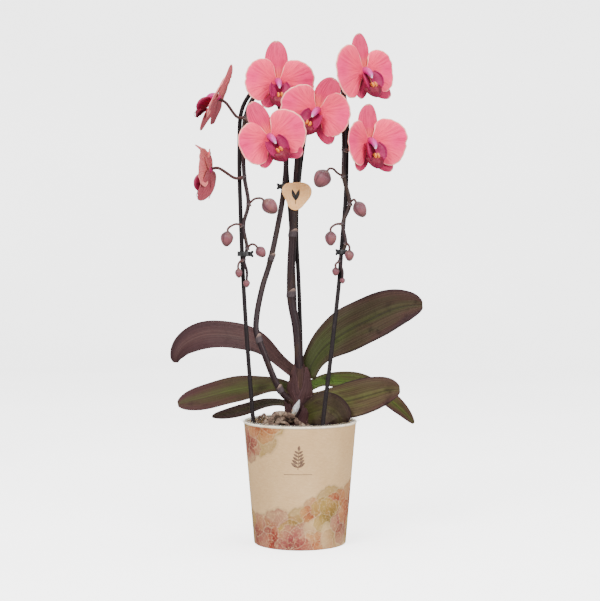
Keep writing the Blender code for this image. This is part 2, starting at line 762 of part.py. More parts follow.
def stalk_end(carries):
    """The last points of a stalk: straight up to the back of a flower, or the foot of a bud."""
    if carries in BUDS:
        foot, toward = BUDS[carries][:2]
        foot = Vector(above_bark([foot])[0])
        return [foot - Vector(toward).normalized() * BUD_STALK_NECK, foot]
    behind = SEPAL_THICK / 2 + 1.5 * GAP
    return [
        flower_frame(carries) @ Vector((0, 0, -far * MM)) / MM
        for far in (behind + FLOWER_STALK_NECK, behind)
    ]


def make_spike(side, crown_room):
    axis, radii = SPIKES[side]
    pieces = [tube(f"flower_spike_{side}", above_bark(axis), radii, "stem", per_span=2)]
    for carries, (node, between) in STALKS[side].items():
        radius = FLOWER_STALK_R if carries in FLOWERS else BUD_STALK_R
        points = [*above_bark([axis[node], *between]), *stalk_end(carries)]
        pieces.append(
            tube(f"stalk_{carries}", points, (radius * 1.15, radius), "stem", per_span=2, sides=1)
        )
    boolean(joined(pieces), crown_room, "DIFFERENCE")


# ---- clips and tag ----------------------------------------------------------------------
# Each clip joins a spike's stem to its wire at a height above the bark, on the inner or the
# outer leg; its finger grip reaches out by (x, y).
CLIPS = {
    "clip_left": ("left", "outer", 186, (6.5, -1.0)),
    "clip_right": ("right", "outer", 188, (-5.0, -1.0)),
    "clip_centre": ("left", "inner", 256, (-5.0, -2.0)),
}
TAG_CENTRE = (-4.5, 246.0)       # x, and height above the bark
TAG_TILT = 32.0                  # direction of its longest corner, in degrees above level
TAG_REACH = 9.0                  # from the stem's axis to the middle of the tag, towards the front


def crossing(points, radii, leg, height):
    """Where a spike or wire crosses a height above the bark, on its way up or its way down, and
    its radius there."""
    route = path_through(above_bark(points), 6)
    steps = list(enumerate(route))
    if leg == "outer":
        steps.reverse()
    level = BARK_TOP + height
    index, spot = next((i, spot) for i, spot in steps if spot.z > level)
    last = route[index + 1] if leg == "outer" else route[index - 1]
    at = last.lerp(spot, (level - last.z) / (spot.z - last.z))
    return at, radius_at(radii, index / (len(route) - 1))


def slab(name, loops, height, finish):
    """Closed outlines in one plane, the inner ones holes, thickened by height along Z."""
    data = bpy.data.curves.new(name, "CURVE")
    data.dimensions = "2D"
    data.fill_mode = "BOTH"
    data.extrude = height / 2 * MM
    for loop in loops:
        line = data.splines.new("POLY")
        line.use_cyclic_u = True
        line.points.add(len(loop) - 1)
        for point, (x, y) in zip(line.points, loop):
            point.co = (x * MM, y * MM, 0.0, 1.0)
    return as_mesh(place(bpy.data.objects.new(name, data), finish))


def rounded_slot(a, b, radius, corners=6):
    """The outline of a slot with round ends about the points a and b."""
    heading = math.atan2(b[1] - a[1], b[0] - a[0])
    outline = []
    for end, start in ((b, heading - math.pi / 2), (a, heading + math.pi / 2)):
        for step in range(corners + 1):
            angle = start + math.pi * step / corners
            outline.append((end[0] + radius * math.cos(angle), end[1] + radius * math.sin(angle)))
    return outline


def make_clip(name, side, leg, height, grip):
    """A band round the wire and the stem, with a finger grip on the stem's side."""
    on_wire, _ = crossing(bow_axis(side), (WIRE_R, WIRE_R), leg, height)
    on_stem, stem_r = crossing(*SPIKES[side], leg, height)
    a, b = on_wire.xy, on_stem.xy
    bore = max(WIRE_R, stem_r) + CLIP_PLAY
    loops = (rounded_slot(a, b, bore + CLIP_WALL), rounded_slot(a, b, bore))
    band = slab(name, loops, CLIP_HEIGHT, "clip")
    reach = Vector(grip)
    root = b + reach.normalized() * (bore + CLIP_WALL / 2)
    tabs = [slab(f"{name}_grip", (rounded_slot(root, root + reach * 0.6, 1.8, 3),), 4.0, "clip")]
    if leg == "inner":
        tip = Vector((b.x + 1.0, b.y - TAG_REACH + TAG_THICK / 2 + GAP + 1.4))
        neck = (rounded_slot(b - Vector((0, bore + CLIP_WALL / 2)), tip, 1.4, 3),)
        tabs.append(slab(f"{name}_neck", neck, 3.0, "clip"))
    clip = joined([band, *tabs])
    clip.location.z = on_wire.z * MM


def make_tag():
    """A rounded triangle of thin card on edge, held in front of the stem by the centre clip."""
    outline = []
    for step in range(24):
        angle = math.tau * step / 24
        reach = TAG_R + 2.0 * math.cos(3 * angle) + 1.7 * math.cos(angle)
        outline.append((reach * math.cos(angle), reach * math.sin(angle)))
    tag = slab("tag", (outline,), TAG_THICK, "tag")
    side, leg, height, _ = CLIPS["clip_centre"]
    stem, _ = crossing(*SPIKES[side], leg, height)
    x, rise = TAG_CENTRE
    tag.location = Vector((x, stem.y - TAG_REACH, BARK_TOP + rise)) * MM
    tag.rotation_euler = (math.radians(90), math.radians(-TAG_TILT), 0.0)


make_cover_pot()
make_grow_pot()
make_crown("crown")
crown_clearance = make_crown("crown_clearance", GAP, cutter=True)
make_bark(crown_clearance)
make_roots(crown_clearance)
for leaf_name, leaf_shape in {**LEAVES, "leaf_front_right": front_leaf()}.items():
    make_leaf(leaf_name, *leaf_shape, crown_clearance)
make_wires()
for spike_side in SPIKES:
    make_spike(spike_side, crown_clearance)
make_flowers()
for bud_name, bud_shape in BUDS.items():
    make_bud(bud_name, *bud_shape)
for clip_name, clip_shape in CLIPS.items():
    make_clip(clip_name, *clip_shape)
make_tag()
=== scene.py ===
"""The finish of a potted moth orchid: card cover pot, bark, roots, leaves, bow wires, spikes,
blossoms, buds, clips and tag. Lengths are in millimetres until a mesh is made; +Z is up and the
plant's front faces -Y.
"""

import bpy
import numpy as np
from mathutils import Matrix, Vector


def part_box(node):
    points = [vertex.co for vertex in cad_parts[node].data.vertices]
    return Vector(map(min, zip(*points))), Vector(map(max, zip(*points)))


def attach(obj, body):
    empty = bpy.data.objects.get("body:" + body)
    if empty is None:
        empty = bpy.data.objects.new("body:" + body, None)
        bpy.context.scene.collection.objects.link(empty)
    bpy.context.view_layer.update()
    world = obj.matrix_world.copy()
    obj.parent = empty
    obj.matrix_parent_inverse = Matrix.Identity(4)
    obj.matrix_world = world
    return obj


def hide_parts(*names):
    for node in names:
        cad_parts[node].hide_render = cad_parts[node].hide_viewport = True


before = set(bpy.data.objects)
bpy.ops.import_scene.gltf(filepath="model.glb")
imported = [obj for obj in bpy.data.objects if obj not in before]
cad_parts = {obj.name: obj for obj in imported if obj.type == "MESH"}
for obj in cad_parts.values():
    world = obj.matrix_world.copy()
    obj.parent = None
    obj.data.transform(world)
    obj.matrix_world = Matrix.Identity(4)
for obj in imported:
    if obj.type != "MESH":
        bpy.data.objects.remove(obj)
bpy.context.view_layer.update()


# ==== Cover pot ==========================================================================
# A tapered cup of unbleached card, wound once and glued down the back, with a rolled paper rim.
# It is printed with a loose wash of blossoms in coral, ochre and rose, and stands on its foot.
def tint(code):
    """The linear colour of a six-figure sRGB code."""
    value = np.array([int(code[k:k + 2], 16) for k in (0, 2, 4)]) / 255
    return (*np.where(value <= 0.04045, value / 12.92, ((value + 0.055) / 1.055) ** 2.4), 1.0)


def ease(share):
    """The S-curve 3s^2 - 2s^3 of a share held between 0 and 1."""
    share = np.clip(share, 0.0, 1.0)
    return share * share * (3 - 2 * share)


def cad_points(node):
    """The points of a CAD node, in millimetres."""
    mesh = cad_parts[node].data
    flat = np.empty(len(mesh.vertices) * 3, np.float32)
    mesh.vertices.foreach_get("co", flat)
    return flat.reshape(-1, 3).astype(float) * 1000


def grid_faces(rows, columns, around):
    """Four-cornered faces of a grid of points numbered row by row; around joins the last column
    to the first."""
    index = np.arange(rows * columns).reshape(rows, columns)
    if around:
        index = np.concatenate([index, index[:, :1]], axis=1)
    corners = (index[:-1, :-1], index[:-1, 1:], index[1:, 1:], index[1:, :-1])
    return np.stack(corners, axis=-1).reshape(-1, 4)


def round_skin(grid, **values):
    """A closed skin over a grid that runs around: each end row is closed by a fan to its mean."""
    rows, columns = grid.shape[:2]
    ring, following = np.arange(columns), np.roll(np.arange(columns), -1)
    last = (rows - 1) * columns
    poles = rows * columns + np.array([0, 1])
    first_fan = np.stack([np.full(columns, poles[0]), following, ring], axis=-1)
    last_fan = np.stack([np.full(columns, poles[1]), last + ring, last + following], axis=-1)

    def with_poles(value):
        value = np.asarray(value, float).reshape(rows, columns, -1)
        ends = np.stack([value[0].mean(0), value[-1].mean(0)])
        return np.concatenate([value.reshape(rows * columns, -1), ends])

    faces = [grid_faces(rows, columns, True), first_fan, last_fan]
    return with_poles(grid), faces, {key: with_poles(value) for key, value in values.items()}


def joined(*skins):
    """Several skins as one, with the corner numbers of each moved on past those before it."""
    points, faces, passed = [], [], 0
    for skin in skins:
        points.append(skin[0])
        faces += [group + passed for group in skin[1]]
        passed += len(skin[0])
    values = {key: np.concatenate([skin[2][key] for skin in skins]) for key in skins[0][2]}
    return np.concatenate(points), faces, values


def made_of(name, skin, finish, slot, *nodes, crease=180.0):
    """The piece itself: its mesh in metres, its point attributes, its material and its place on
    the frame. A skin whose enclosed volume, the sum of a.(b x c) over its faces, is negative has
    its faces turned round, so that they point outwards."""
    points, faces, values = skin
    volume = 0.0
    for group in faces:
        corner = [points[group[:, k]] for k in range(group.shape[1])]
        for b, c in zip(corner[1:], corner[2:]):
            volume += np.einsum("ij,ij", corner[0], np.cross(b, c))
    turn = -1 if volume < 0 else 1
    mesh = bpy.data.meshes.new(name)
    mesh.from_pydata((points * 0.001).tolist(), [], [f for g in faces for f in g[:, ::turn].tolist()])
    for key, value in values.items():
        width = value.shape[1]
        kind, field = {
            1: ("FLOAT", "value"), 3: ("FLOAT_VECTOR", "vector"), 4: ("FLOAT_COLOR", "color"),
        }[width]
        spread = mesh.attributes.new(key, kind, "POINT")
        spread.data.foreach_set(field, value.astype(np.float32).ravel())
    mesh.shade_smooth()
    if crease < 180:
        mesh.set_sharp_from_angle(angle=np.radians(crease))
    mesh.materials.append(finish)
    made = bpy.data.objects.new(name, mesh)
    bpy.context.scene.collection.objects.link(made)
    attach(made, "root")
    if nodes:
        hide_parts(*nodes)
    return made


def new_finish(name, **sockets):
    """A material, its shader's inputs and a maker of nodes. The maker takes a kind of node, the
    values or links of its inputs, and its settings, and gives back one of its outputs."""
    material = bpy.data.materials.new(name)
    material.use_nodes = True
    tree = material.node_tree
    shader = tree.nodes["Principled BSDF"].inputs
    for socket, value in sockets.items():
        shader[socket.replace("_", " ")].default_value = value

    def add(kind, inputs, out=0, **settings):
        made = tree.nodes.new("ShaderNode" + kind)
        for key, value in settings.items():
            setattr(made, key, value)
        for key, value in inputs.items():
            if isinstance(value, bpy.types.NodeSocket):
                tree.links.new(value, made.inputs[key])
            else:
                made.inputs[key].default_value = value
        return made.outputs[out]

    def join(socket, output):
        tree.links.new(output, shader[socket])

    return material, join, add


def ramp(add, share, *stops):
    """Colours along a share from 0 to 1: stops are (place, colour code)."""
    output = add("ValToRGB", {0: share})
    colours = output.node.color_ramp.elements
    while len(colours) < len(stops):
        colours.new(1.0)
    for colour, (place, code) in zip(colours, stops):
        colour.position = place
        colour.color = tint(code)
    return output


def mask(add, value, low, high):
    """0 where value is under low, 1 where it is over high, and a soft step between."""
    return add(
        "MapRange", {"Value": value, "From Min": low, "From Max": high}, interpolation_type="SMOOTHSTEP"
    )


def calc(add, how, *parts):
    """One step of arithmetic between values."""
    return add("Math", dict(enumerate(parts)), operation=how)


def spread(add, value, low, high):
    """A value from 0 to 1 carried to the range from low to high."""
    return add("MapRange", {"Value": value, "To Min": low, "To Max": high})


def blend(add, share, under, over, how="MIX"):
    """Two colours mixed by a share, or by another way of blending."""
    colours = {0: share, 6: under, 7: over}
    return add("Mix", colours, out=2, data_type="RGBA", blend_type=how)


def grain(add, place, scale, size=1.0, detail=3.0, roughness=0.55):
    """Noise in a place that is stretched by scale along each of its axes."""
    spread = add("Mapping", {"Vector": place, "Scale": scale})
    settings = {"Vector": spread, "Scale": size, "Detail": detail, "Roughness": roughness}
    return add("TexNoise", settings)


def relief(add, height, distance, strength=1.0):
    """Bump from a height of 0 to 1 that stands for a distance in metres."""
    return add("Bump", {"Height": height, "Distance": distance, "Strength": strength})


def here(add):
    """Object coordinates, in metres."""
    return add("TexCoord", {}, out=3)


def lie(add, name="lie"):
    """A piece's own coordinates, kept on its points."""
    return add("Attribute", {}, out=1, attribute_name=name)


def split(add, vector, axis):
    """One of the three numbers of a vector."""
    return add("SeparateXYZ", {0: vector}, out=axis)


pot = cad_points("cover_pot")
POT_HEIGHT = pot[:, 2].max()
POT_FOOT_R = np.hypot(pot[:, 0], pot[:, 1])[pot[:, 2] < 0.01].max()
POT_BEAD_R = 1.3
POT_RIM_R = np.hypot(pot[:, 0], pot[:, 1]).max() - 0.7
POT_WALL = 1.2
POT_ROWS, POT_COLUMNS = 150, 384
PRINT_R = 53.0                     # radius on which the print's distances round the pot are measured


def pot_radius(z):
    """Outside radius of the cup: a straight taper from the foot to the rim."""
    return POT_FOOT_R + (POT_RIM_R - POT_FOOT_R) * z / POT_HEIGHT


# Blossoms of the wash: distance round the front, height, size, turn, palette
WASH = [
    (-72, 122, 52, 250, "coral"), (-48, 130, 54, 262, "ochre"), (-62, 106, 34, 250, "rose"),
    (-42, 132, 40, 280, "coral"),
    (-46, 4, 46, 84, "coral"), (-38, 10, 40, 110, "ochre"), (-21, 8, 52, 92, "rose"),
    (-26, 4, 34, 60, "red"),
    (3, 20, 46, 88, "ochre"), (2, 10, 36, 268, "rose"), (16, 40, 26, 100, "coral"),
    (22, 12, 38, 110, "cream"),
    (36, 43, 36, 96, "ochre"), (47, 42, 31, 60, "red"), (36, 30, 36, 250, "ochre"),
    (30, 6, 30, 200, "coral"),
    (44, 14, 34, 60, "cream"), (58, 24, 36, 90, "rose"), (8, -2, 34, 140, "coral"),
    (-9, 3, 34, 180, "rose"),
    (74, 40, 44, 120, "coral"), (-66, 14, 44, 100, "rose"), (-84, 20, 40, 70, "ochre"),
    (84, 14, 36, 60, "ochre"),
]
PALETTES = {
    "coral": ("7c2c18", "a2552f", "b67c4c"), "ochre": ("6c5620", "8c702c", "ab8b48"),
    "rose": ("6e2026", "8e4240", "a8705a"), "red": ("701410", "8f3022", "a65a38"),
    "cream": ("967448", "b89264", "ccac7c"),
}
PETAL_SET = [(18, 0.62), (90, 0.44), (162, 0.62), (232, 0.40), (308, 0.40)]   # direction, breadth


def washed(around, height, draw):
    """The print's colour and cover at each point. A petal is an ellipse from the blossom's middle
    outwards with a wavering edge: its pigment runs from deep at the middle to pale, is drawn
    together in a darker line inside the edge, and has a pale line outside it. Each petal is laid
    over those before it in thin colour."""
    colour = np.zeros(around.shape + (3,))
    cover = np.zeros(around.shape)
    for x, y, size, turn, palette in WASH:
        deep, middle, pale = (np.array(tint(code)[:3]) for code in PALETTES[palette])
        for toward, breadth in PETAL_SET:
            heading = np.radians(turn + toward + draw.uniform(-12, 12))
            reach = size * draw.uniform(0.55, 0.70)
            dx, dy = around - x, height - y
            along = (dx * np.cos(heading) + dy * np.sin(heading)) / reach
            across = (dy * np.cos(heading) - dx * np.sin(heading)) / (reach * breadth)
            angle = np.arctan2(across, along - 0.5)
            waver = 1 + 0.05 * np.sin(5 * angle + draw.uniform(0, 6)) + 0.03 * np.sin(11 * angle)
            out = np.hypot((along - 0.5) * 2, across) / waver
            body = ease((1.03 - out) / 0.10)
            line = np.exp(-(((out - 0.90) / 0.05) ** 2))
            halo = np.exp(-(((out - 1.03) / 0.035) ** 2))
            veins = 0.5 + 0.5 * np.sin(22 * np.arctan2(across * breadth, along + 0.15))
            run = ease(along)[..., None]
            pigment = np.where(
                run < 0.5, deep + (middle - deep) * run * 2, middle + (pale - middle) * (run * 2 - 1)
            )
            pigment = pigment * (1 - 0.22 * line - 0.06 * veins)[..., None]
            layer = body * (0.74 + 0.22 * line) * (0.86 + 0.14 * np.sin(3.1 * along + 4.3 * across))
            paper = np.array(tint("e4c9a2")[:3])
            for tone, thickness in ((pigment, layer), (paper, 0.28 * halo)):
                colour = colour * (1 - thickness[..., None]) + tone * thickness[..., None]
                cover = cover * (1 - thickness) + thickness
    return np.concatenate([colour, cover[..., None]], axis=-1)


def cup(profile, seam):
    """A turned skin: each (radius, height) of the profile is carried round, and the card's glued
    lap stands a little proud in a strip down the back."""
    radius, height = profile.T[:, :, None]
    turn = np.linspace(-np.pi, np.pi, POT_COLUMNS, endpoint=False)[None, :]
    lap = ease((0.075 - np.abs(np.abs(turn) - np.pi + 0.06)) / 0.012)
    radius = radius + seam[:, None] * lap
    grid = [radius * np.sin(turn), -radius * np.cos(turn), height + 0 * turn]
    return np.stack(grid, axis=-1), turn + 0 * height, height + 0 * turn


outer_z = np.linspace(0.9, POT_HEIGHT - 2.2, POT_ROWS)
curl = np.linspace(-np.pi / 2, 0, 5)[:-1]
foot_turn = np.stack([POT_FOOT_R - 0.9 + 0.9 * np.cos(curl), 0.9 + 0.9 * np.sin(curl)], axis=-1)
inner_z = np.array([POT_HEIGHT - 2.2, POT_HEIGHT * 0.6, 6.0, 2.0, POT_WALL])
inner = np.stack([pot_radius(inner_z) - POT_WALL - np.array([0, 0, 0, 0.1, 0.8]), inner_z], axis=-1)
profile = np.concatenate([
    [[2.0, 0.0], [POT_FOOT_R - 4.0, 0.0]], foot_turn,
    np.stack([pot_radius(outer_z), outer_z], axis=-1), inner, [[2.0, POT_WALL]],
])
proud = np.zeros(len(profile))
proud[2:6 + POT_ROWS] = 0.28
cup_grid, cup_turn, cup_height = cup(profile, proud)
outside = np.zeros(len(profile), bool)
outside[2:6 + POT_ROWS] = True
wash_front = np.where(
    np.abs(cup_turn) > np.pi / 2, (np.pi - np.abs(cup_turn)) * np.sign(cup_turn), cup_turn
)
print_colour = washed(wash_front * PRINT_R, cup_height, np.random.default_rng(11))
print_colour[~outside] = 0

kraft, join, add = new_finish("kraft_card_print", Roughness=0.78, Specular_IOR_Level=0.3)
place = here(add)
fibre = grain(add, place, (260, 260, 900), detail=6, roughness=0.6)
cloud = grain(add, place, (30, 30, 24), detail=2)
card = blend(
    add, mask(add, fibre, 0.3, 0.75), ramp(add, cloud, (0.3, "c09a6c"), (0.7, "cba576")),
    ramp(add, cloud, (0.3, "cda878"), (0.7, "d6b284")),
)
fleck = mask(add, grain(add, place, (700, 700, 2600), detail=2), 0.68, 0.75)
card = blend(add, fleck, card, tint("93724a"))
ink = add("Attribute", {}, out=0, attribute_name="print")
cover = add("Attribute", {}, out=3, attribute_name="print")
bleed = grain(add, place, (420, 420, 420), detail=5, roughness=0.7)
soak = calc(add, "MULTIPLY", cover, mask(add, bleed, 0.15, 0.55))
join("Base Color", blend(add, soak, card, ink))
join("Roughness", spread(add, fibre, 0.68, 0.88))
join("Normal", relief(add, fibre, 0.00006))
cup_skin = round_skin(cup_grid, **{"print": print_colour})
made_of("card_cup", cup_skin, kraft, "kraft_card", "cover_pot", crease=50)

# The rolled rim: a bead of the card's bleached edge, with the lap showing as a small step.
bead_turn = np.linspace(0, 2 * np.pi, 14, endpoint=False)
bead_middle = pot_radius(POT_HEIGHT - POT_BEAD_R) - POT_WALL / 2
rim_turn = np.linspace(-np.pi, np.pi, 192, endpoint=False)[:, None]
bead_r = (
    POT_BEAD_R
    * (1 + 0.02 * np.sin(9 * rim_turn) + 0.12 * np.exp(-((np.abs(rim_turn) - 3.08) / 0.05) ** 2))
)
rim_r = bead_middle + bead_r * np.cos(bead_turn)
rim = np.stack(
    [rim_r * np.sin(rim_turn), -rim_r * np.cos(rim_turn),
     POT_HEIGHT - POT_BEAD_R + np.minimum(bead_r, POT_BEAD_R) * np.sin(bead_turn) + 0 * rim_turn], axis=-1,
)
ring = np.arange(192 * 14).reshape(192, 14)
ring = np.pad(ring, ((0, 1), (0, 1)), mode="wrap")
rim_faces = np.stack(
    [ring[:-1, :-1], ring[:-1, 1:], ring[1:, 1:], ring[1:, :-1]], axis=-1
).reshape(-1, 4)
cream, join, add = new_finish("rolled_paper", Roughness=0.7)
place = here(add)
worn = grain(add, place, (160, 160, 160), detail=5)
join("Base Color", ramp(add, worn, (0.35, "d9c3a0"), (0.5, "ecdcc0"), (0.75, "f3e8d2")))
join("Normal", relief(add, grain(add, place, (900, 900, 900)), 0.00004))
made_of("rolled_rim", (rim.reshape(-1, 3), [rim_faces], {}), cream, "kraft_card")


# A small printed sprig and rule stand on the front, in the brown ink of the card printer.
def blade_skin(middle, thick, **values):
    """A closed thin skin about an open grid of middle points: its two faces stand half of thick
    to each side along the surface's normal, and a strip joins them all round the border. The
    third number of lie is +1 on the first face and -1 on the other."""
    rows, columns = middle.shape[:2]
    normal = np.cross(np.gradient(middle, axis=0), np.gradient(middle, axis=1))
    normal /= np.linalg.norm(normal, axis=-1, keepdims=True) + 1e-12
    half = np.broadcast_to(np.asarray(thick, float), (rows, columns))[..., None] / 2
    total = rows * columns
    index = np.arange(total).reshape(rows, columns)
    loop = np.concatenate([index[0], index[1:, -1], index[-1, -2::-1], index[-2:0:-1, 0]])
    following = np.roll(loop, -1)
    front = grid_faces(rows, columns, False)
    strip = np.stack([following, loop, loop + total, following + total], axis=-1)
    points = np.concatenate([
        (middle + normal * half).reshape(-1, 3), (middle - normal * half).reshape(-1, 3)
    ])
    doubled = {}
    for key, value in values.items():
        flat = np.asarray(value, float).reshape(total, -1)
        doubled[key] = np.concatenate([flat, flat])
        if key == "lie":
            doubled[key][:, 2] = np.repeat([1.0, -1.0], total)
    return points, [front, front[:, ::-1] + total, strip], doubled


def on_cup(x, z, lift=0.12):
    """A point of the pot's face from its distance round the front and its height."""
    radius = pot_radius(z) + lift
    return np.stack([radius * np.sin(x / PRINT_R), -radius * np.cos(x / PRINT_R), z + 0 * x], axis=-1)


def printed_leaf(x, z, length, breadth, heading):
    """A leaf shape on the pot: its half breadth is that of a sine arch along its length."""
    share, side = np.linspace(0.01, 0.99, 14)[:, None], np.linspace(-1, 1, 5)[None, :]
    along, across = length * share, side * breadth * np.sin(np.pi * share)
    c, s = np.cos(np.radians(heading)), np.sin(np.radians(heading))
    return blade_skin(on_cup(x + along * c - across * s, z + along * s + across * c), 0.08)


def printed_line(start, end, width):
    """A straight rule on the pot between two places."""
    share, side = np.linspace(0, 1, 24)[:, None], np.linspace(-0.5, 0.5, 3)[None, :]
    run = np.subtract(end, start)
    normal = np.array([-run[1], run[0]]) / np.hypot(*run)
    x = start[0] + run[0] * share + normal[0] * width * side
    z = start[1] + run[1] * share + normal[1] * width * side
    return blade_skin(on_cup(x, z), 0.08)


sprig = [printed_line((-16, 79), (12, 79), 0.5), printed_line((-2, 84), (-1, 104), 0.55)]
for step in range(5):
    for heading in (38, 142):
        sprig.append(printed_leaf(
            -2 + 0.2 * step, 86 + 3.6 * step, 8.6 - 0.9 * step, 1.5 - 0.12 * step, heading
        ))
sprig.append(printed_leaf(-1, 103, 6.0, 1.3, 88))
brown_ink, join, add = new_finish("brown_print_ink", Roughness=0.75)
join(
    "Base Color",
    ramp(add, grain(add, here(add), (500, 500, 500), detail=4), (0.35, "5a4030"), (0.7, "7d614c"))
)
made_of("printed_sprig", joined(*sprig), brown_ink, "kraft_card")


# ==== Grow pot ===========================================================================
# A thin clear liner pot, vacuum formed, that hangs in the card cup by its flange. Its wall is
# ribbed so that it doesn't split, its flange has a turned edge, and its floor has drain holes.
liner = cad_points("grow_pot")
FLANGE_R = np.hypot(liner[:, 0], liner[:, 1]).max()
FLANGE_TOP = liner[:, 2].max()
LINER_FLOOR = liner[:, 2].min()
LINER_WALL = 0.8
CUP_GAP = 1.0
DRAINS, DRAIN_R, DRAIN_RING = 6, 1.9, 26.0


def liner_radius(z):
    """Outside radius of the liner, inside the card cup by a small gap."""
    return pot_radius(z) - POT_WALL - CUP_GAP


rise = np.linspace(LINER_FLOOR, FLANGE_TOP - 1.4, 30)
lip_turn = np.linspace(-np.pi / 2, np.pi / 2, 7)
edge = np.stack(
    [FLANGE_R - 0.5 + 0.5 * np.cos(lip_turn), FLANGE_TOP - 0.5 + 0.5 * np.sin(lip_turn)], axis=-1
)
profile = np.concatenate([
    [[1.0, LINER_FLOOR], [DRAIN_RING - 6, LINER_FLOOR], [DRAIN_RING + 6, LINER_FLOOR]],
    np.stack([liner_radius(rise), rise], axis=-1),
    [[liner_radius(FLANGE_TOP) + 0.3, FLANGE_TOP - 1.05], [FLANGE_R - 1.5, FLANGE_TOP - 1.0]],
    edge,
    [[FLANGE_R - 1.6, FLANGE_TOP], [liner_radius(FLANGE_TOP) - LINER_WALL + 0.5, FLANGE_TOP - 0.1]],
    np.stack(
        [liner_radius(rise[::-1]) - LINER_WALL, np.maximum(rise[::-1], LINER_FLOOR + 0.8)], axis=-1
    ),
    [
        [DRAIN_RING + 6, LINER_FLOOR + 0.8], [DRAIN_RING - 6, LINER_FLOOR + 0.8],
        [1.0, LINER_FLOOR + 0.8]
    ],
])
turn = np.linspace(0, 2 * np.pi, 180, endpoint=False)[None, :]
radius, height = profile.T[:, :, None]
rib = 0.22 * np.cos(36 * turn) * ease((FLANGE_TOP - 6 - height) / 8) * ease((height - 8) / 6)
radius = radius + rib
liner_grid = np.stack([radius * np.cos(turn), radius * np.sin(turn), height + 0 * turn], axis=-1)
clear, join, add = new_finish(
    "clear_liner", Roughness=0.12, IOR=1.46, Transmission_Weight=0.9, Alpha=0.22,
    Specular_IOR_Level=0.3,
)
place = here(add)
haze = grain(add, place, (45, 45, 60), detail=4)
join("Base Color", ramp(add, haze, (0.3, "dfe5e6"), (0.7, "f7fafa")))
join("Roughness", spread(add, haze, 0.06, 0.28))
join("Normal", relief(add, grain(add, place, (120, 120, 20), detail=2), 0.00008))
liner_pot = made_of("liner_pot", round_skin(liner_grid), clear, "clear_plastic", "grow_pot", crease=60)
drill_turn = np.linspace(0, 2 * np.pi, 24, endpoint=False)[None, :]
drill_z = np.array([LINER_FLOOR - 2, LINER_FLOOR + 3])[:, None]
drills = []
for hole in range(DRAINS):
    at = 2 * np.pi * hole / DRAINS
    drill = [
        DRAIN_RING * np.cos(at) + DRAIN_R * np.cos(drill_turn) + 0 * drill_z,
        DRAIN_RING * np.sin(at) + DRAIN_R * np.sin(drill_turn) + 0 * drill_z, drill_z + 0 * drill_turn,
    ]
    drills.append(round_skin(np.stack(drill, axis=-1)))
cutter = made_of("drain_cutter", joined(*drills), clear, "clear_plastic")
holes = liner_pot.modifiers.new("drain_holes", "BOOLEAN")
holes.object, holes.operation, holes.solver = cutter, "DIFFERENCE", "EXACT"
bpy.context.view_layer.update()
drilled_pot = liner_pot.evaluated_get(bpy.context.evaluated_depsgraph_get())
drilled = bpy.data.meshes.new_from_object(drilled_pot)
liner_pot.modifiers.clear()
liner_pot.data = drilled
bpy.data.objects.remove(cutter)


# ==== Bark ===============================================================================
# Pine bark chips with a little white perlite fill the liner to just under its rim. A lumpy body
# of packed chips holds the rest, and loose ones lie over it at all angles.
bark = cad_points("bark")
BARK_R = np.hypot(bark[:, 0], bark[:, 1]).max()
BARK_CROWN = bark[:, 2].max()
BARK_DOME = 4.0
BARK_TOP = BARK_CROWN - BARK_DOME      # at the pot's wall; every height of the plant is above it


def bark_height(x, y):
    """Height of the bark's surface: a shallow dome."""
    return BARK_TOP + BARK_DOME * (1 - (x * x + y * y) / BARK_R ** 2)


def lumps(x, y):
    """A sum of three crossed waves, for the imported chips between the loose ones."""
    return (
        0.7 * np.sin(0.9 * x + 0.5 * y) + 0.6 * np.sin(0.55 * x - 1.1 * y + 1)
        + 0.5 * np.sin(1.7 * y + 0.4 * x)
    )


turn = np.linspace(0, 2 * np.pi, 120, endpoint=False)[None, :]
out = (np.linspace(0.02, 1, 34) ** 0.8)[:, None] * (BARK_R - 0.3)
top = np.stack([out * np.cos(turn), out * np.sin(turn), 0 * out * turn], axis=-1)
top[..., 2] = (
    bark_height(top[..., 0], top[..., 1]) - 1.6
    + lumps(top[..., 0], top[..., 1]) * ease((BARK_R - out) / 5)
)
side_z = np.linspace(BARK_TOP - 3, bark[:, 2].min(), 8)[:, None]
side_r = BARK_R - 0.3 - (BARK_TOP - side_z) * (POT_RIM_R - POT_FOOT_R) / POT_HEIGHT
side = np.stack([side_r * np.cos(turn), side_r * np.sin(turn), side_z + 0 * turn], axis=-1)
under = np.stack([2 * np.cos(turn), 2 * np.sin(turn), bark[:, 2].min() + 0 * turn], axis=-1)


def bark_finish(name, dark, mid, light):
    """Bark: dark furrowed wood with rusty and pale faces, coarse and dull."""
    material, join, add = new_finish(name, Roughness=0.9, Specular_IOR_Level=0.25)
    place = here(add)
    patch = grain(add, place, (150, 150, 150), detail=5, roughness=0.65)
    grit = grain(add, place, (700, 700, 700), detail=6, roughness=0.7)
    coat = ramp(add, patch, (0.32, dark), (0.5, mid), (0.66, light))
    join(
        "Base Color",
        blend(add, mask(add, grit, 0.35, 0.65), blend(add, 1.0, coat, tint("8f8078"), "MULTIPLY"), coat)
    )
    join("Normal", relief(add, grit, 0.0006))
    return material


# Painted shade: the packed body is drawn near black, much darker than the loose chips, for the shade in
# the gaps between them.
packed = bark_finish("packed_bark", "0b0807", "1a120e", "2a1c15")
made_of("bark_fill", round_skin(np.concatenate([top, side, under])), packed, "bark_chips", "bark")

